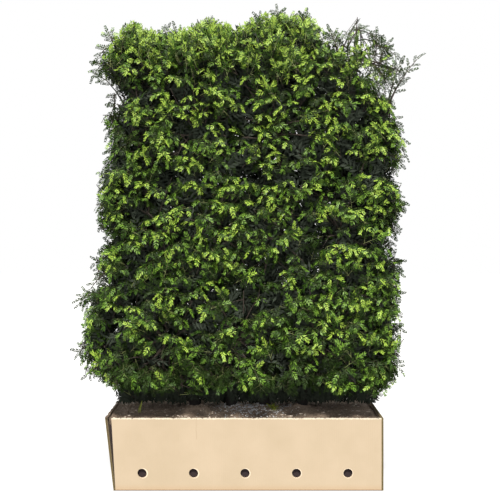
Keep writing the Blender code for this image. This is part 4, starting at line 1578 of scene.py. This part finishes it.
class Spray:
    """One spray laid out from the origin along +Y, with its upper side to +Z."""

    def __init__(self, kind, rng):
        comb = kind == "comb"
        leader = straight_shoot(COMB_LENGTH if comb else SPRAY_LENGTH)
        shoots = [leader]
        hand = rng.choice((-1, 1))
        for share, length in () if comb else SIDE_SHOOTS:
            angles, rises, droops = HABITS[kind]
            start = leader.at(share + rng.uniform(-0.05, 0.05))[0]
            angle = math.radians(rng.uniform(*angles)) * hand
            way = Vector((math.sin(angle), math.cos(angle), rng.uniform(*rises))).normalized()
            length *= rng.uniform(*SIDE_SIZES)
            shoots.append(Shoot(start, way, square_to(way, UP), length, rng.uniform(*droops)))
            hand = -hand if rng.random() < 0.85 else hand
        self.shoots = []
        needle = NEEDLE_LENGTH, NEEDLE_WIDTH
        if comb:
            needle = COMB_NEEDLE_LENGTH, COMB_NEEDLE_WIDTH
        for shoot in shoots:
            first, aged = BARE_SHARES["comb" if comb else "leader" if shoot is leader else "side"]
            shift = 0 if shoot is leader else rng.choice(SIDE_TONES)
            kinds = [], [], []
            for points, share in list(shoot.needles(first, kind == "brush", *needle, rng)):
                kinds[2 if share <= aged else int(rng.random() < DIM_SHARE)].append(points)
            parts = [joined_parts(group, NEEDLE_FACES) for group in kinds]
            wood = joined_parts([shoot.wood()], SPIKE_FACES)
            self.shoots.append((shift, tuple(shoot.at(1.0)[0]), parts, wood))


def joined_parts(parts, faces):
    """The points and the triangles of parts of four points each."""
    points = np.array([[tuple(point) for point in part] for part in parts]).reshape(-1, 3)
    offsets = np.arange(len(parts))[:, None, None] * 4
    return points, (np.array(faces)[None] + offsets).reshape(-1, 3)


def shade_parts(rng):
    """A coarse old spray of broad needles along one shoot."""
    needles = []
    shoot = straight_shoot(SHADE_LENGTH)
    for pair in range(SHADE_PAIRS):
        share = (pair + 0.6) / SHADE_PAIRS
        spot, way, up = shoot.at(share)
        for hand in (-1, 1):
            turn = math.radians(58 - 20 * share) + rng.uniform(-0.45, 0.45)
            ahead = Vector((math.sin(turn) * hand, math.cos(turn), rng.uniform(-0.45, 0.45)))
            ahead.normalize()
            over = (up - ahead * ahead.z).normalized()
            needles.append(
                needle_points(spot, ahead, over, SHADE_NEEDLE_LENGTH, SHADE_NEEDLE_WIDTH)
            )
    return joined_parts(needles, NEEDLE_FACES)


def set_out(points, rows, length):
    """Copies of a flat pattern, each bent, sized and set at its root: copies x points x 3."""
    roots, aheads, overs = rows[:, 0:3], rows[:, 3:6], rows[:, 6:9]
    bends, sizes = rows[:, 9], rows[:, 10]
    across, run, lift = (points[None, :, axis] * sizes[:, None] for axis in range(3))
    radius = (length * sizes / bends)[:, None]
    turn = run / radius
    forward = (radius + lift) * np.sin(turn)
    raised = (radius + lift) * np.cos(turn) - radius
    sides = np.cross(aheads, overs)
    return (
        roots[:, None] + across[..., None] * sides[:, None]
        + forward[..., None] * aheads[:, None] + raised[..., None] * overs[:, None]
    )


def inside(tip, rows, length):
    """The rows whose copy of a tip stays within the clipped outline."""
    placed = set_out(np.array([tip]), rows, length)[:, 0]
    return rows[stands_out(placed, rows[:, 12]) < rows[:, 11]]


spray_rng = random.Random(SEED)
patterns = {
    kind: [Spray(kind, spray_rng) for _ in range(count)] for kind, count in PATTERNS.items()
}
heaps = [Heap() for _ in TONES]
green_wood = Heap()
groups = {}
for kind, tone, row in growth.sprays:
    groups.setdefault((kind, spray_rng.randrange(PATTERNS[kind]), tone), []).append(row)
for (kind, number, tone), rows in sorted(groups.items()):
    rows = np.array(rows)
    for shift, tip, (bright, dim, old), wood in patterns[kind][number].shoots:
        seats = inside(tip, rows, SPRAY_LENGTH)
        shade = min(tone + shift, len(OLDER) - 1)
        for heap, (points, faces) in (
            (heaps[shade], bright), (heaps[min(shade + 1, len(OLDER) - 1)], dim),
            (heaps[OLDER[shade]], old), (green_wood, wood),
        ):
            heap.add(set_out(points, seats, SPRAY_LENGTH), faces)

shade_rows = np.array(growth.shade)
for start in range(SHADE_PATTERNS):
    points, faces = shade_parts(spray_rng)
    rows = shade_rows[start::SHADE_PATTERNS]
    for tip in ((0.0, 0.0, 0.0), (0.0, SHADE_LENGTH, 0.0)):
        rows = inside(tip, rows, SHADE_LENGTH)
    heaps[-1].add(set_out(points, rows, SHADE_LENGTH), faces)

for name, heap in zip(TONES, heaps):
    wax = Finish(f"{name}_needles", *TONES[name])
    heap.carry(f"needles_{name}", wax, "foliage", *foliage_nodes)
shoot_skin = Finish("green_shoots", (0.11, 0.13, 0.035), 0.6)
green_wood.carry("green_shoots", shoot_skin, "foliage", *foliage_nodes)

# Small growth on the compost: a blade of grass, a yellow-green weed, and one dry fallen twig.

WEED_STEPS = 6
WEED_SINK = 0.002
GRASS_BLADES = ((-0.419, -0.05, 0.056, 0.005), (-0.425, -0.045, 0.034, 0.004))
WEED_PLACE = (0.094, -0.035)
WEED_LEAVES = 22
WEED_LEAF = (0.030, 0.010)
WEED_SPREAD = 0.008
FALLEN_TWIG = ((-0.405, -0.045), (-0.378, 0.000), (-0.350, 0.035))
FALLEN_TWIG_RADIUS = 0.0014


def weed_leaf(length, width):
    """A flat leaf along +Y that is widest near its middle and ends in a point."""
    shares = np.linspace(0.0, 1.0, WEED_STEPS + 1)
    half = width / 2 * np.sin(np.pi * (0.08 + 0.92 * shares))
    sides = [np.stack([hand * half, shares * length, 0.3 * half], 1) for hand in (-1, 1)]
    faces = []
    for step in range(WEED_STEPS):
        other = step + WEED_STEPS + 1
        faces += [(step, other, other + 1), (step, other + 1, step + 1)]
    return np.concatenate(sides), np.array(faces)


weed_rng = random.Random(SEED)
weeds = Heap()
for x, y, length, width in GRASS_BLADES:
    points, faces = weed_leaf(length, width)
    root = (x, y, soil_height(x, y) - WEED_SINK)
    row = (*root, 0.08, 0.0, 0.997, -0.3, -0.954, 0.024, 0.5, 1.0)
    weeds.add(set_out(points, np.array([row]), length), faces)
points, faces = weed_leaf(*WEED_LEAF)
rows = []
for _ in range(WEED_LEAVES):
    x, y = (place + weed_rng.uniform(-WEED_SPREAD, WEED_SPREAD) for place in WEED_PLACE)
    turn, rise = weed_rng.uniform(0, math.tau), weed_rng.uniform(0.3, 1.6)
    ahead = Vector((math.cos(turn), math.sin(turn), rise)).normalized()
    over = square_to(ahead, UP)
    root = (x, y, soil_height(x, y) - WEED_SINK)
    rows.append((*root, *ahead, *over, weed_rng.uniform(0.3, 1.2), weed_rng.uniform(0.6, 1.1)))
weeds.add(set_out(points, np.array(rows), WEED_LEAF[0]), faces)
weed_skin = Finish("weed_leaves", (0.22, 0.27, 0.035), 0.6, 0.2)
weed_skin.speckle(160.0, (0.13, 0.17, 0.02), (0.34, 0.38, 0.06))
weeds.carry("weeds", weed_skin, "foliage")

dry_wood = Finish("dry_wood", (0.34, 0.26, 0.19), 0.85)
dry_wood.speckle(200.0, (0.20, 0.14, 0.10), (0.46, 0.37, 0.28))
fallen = Heap()
fallen_path = [(x, y, soil_height(x, y) + FALLEN_TWIG_RADIUS) for x, y in FALLEN_TWIG]
tubes(fallen, [fallen_path], [FALLEN_TWIG_RADIUS, FALLEN_TWIG_RADIUS, FALLEN_TWIG_RADIUS / 2], 6)
fallen.carry("fallen_twig", dry_wood, "bark")

# The studio: a pale floor that runs to a pale surround, one broad soft light from above the
# camera's left, and the camera at the height and distance that the photograph was taken from.

CAMERA_HEIGHT = 0.96
CAMERA_DISTANCE = 3.0
CAMERA_ASIDE = 0.0055
FOCAL_PIXELS = 810.0
PICTURE_PIXELS = 500.0
HORIZON_RISE = 18.3
SENSOR_WIDTH = 36.0
FLOOR_SIZE = 30.0
FLOOR_DROP = 0.0005
FLOOR_GREY = (0.14, 0.14, 0.14)
FLOOR_GLOW = 0.8
WHITE = (1.0, 1.0, 1.0, 1.0)
SUN_STRENGTH = 9.0
SUN_DEGREES = 12
SUN_COLOUR = (1.0, 0.97, 0.90)
SUN_WAY = (-0.04, -0.50, 0.87)

bpy.ops.object.select_all(action="DESELECT")
bpy.ops.mesh.primitive_plane_add(size=FLOOR_SIZE, location=(0.0, 0.0, -FLOOR_DROP))
floor = bpy.context.object
floor.name = "studio_floor"
floor_paint = Finish("studio_floor", FLOOR_GREY, 0.9, 0.0)
floor_paint.shader.inputs["Emission Color"].default_value = WHITE
floor_paint.shader.inputs["Emission Strength"].default_value = FLOOR_GLOW
floor.data.materials.append(floor_paint.material)

world = bpy.data.worlds.new("studio")
bpy.context.scene.world = world
world.use_nodes = True
world.node_tree.nodes["Background"].inputs["Color"].default_value = WHITE
world.node_tree.nodes["Background"].inputs["Strength"].default_value = 1.0

key_data = bpy.data.lights.new("key", "SUN")
key_data.energy = SUN_STRENGTH
key_data.angle = math.radians(SUN_DEGREES)
key_data.color = SUN_COLOUR
key = put_in("key", key_data)
key.rotation_euler = Vector(SUN_WAY).to_track_quat("Z", "Y").to_euler()

camera_data = bpy.data.cameras.new("camera")
camera_data.sensor_width = SENSOR_WIDTH
camera_data.lens = SENSOR_WIDTH * FOCAL_PIXELS / PICTURE_PIXELS
camera_data.shift_y = -HORIZON_RISE / PICTURE_PIXELS
camera = put_in("camera", camera_data)
camera.location = (CAMERA_ASIDE, -box_depth / 2 - CAMERA_DISTANCE, CAMERA_HEIGHT)
camera.rotation_euler = (math.pi / 2, 0.0, 0.0)
bpy.context.scene.camera = camera
bpy.context.scene.view_settings.view_transform = "Standard"
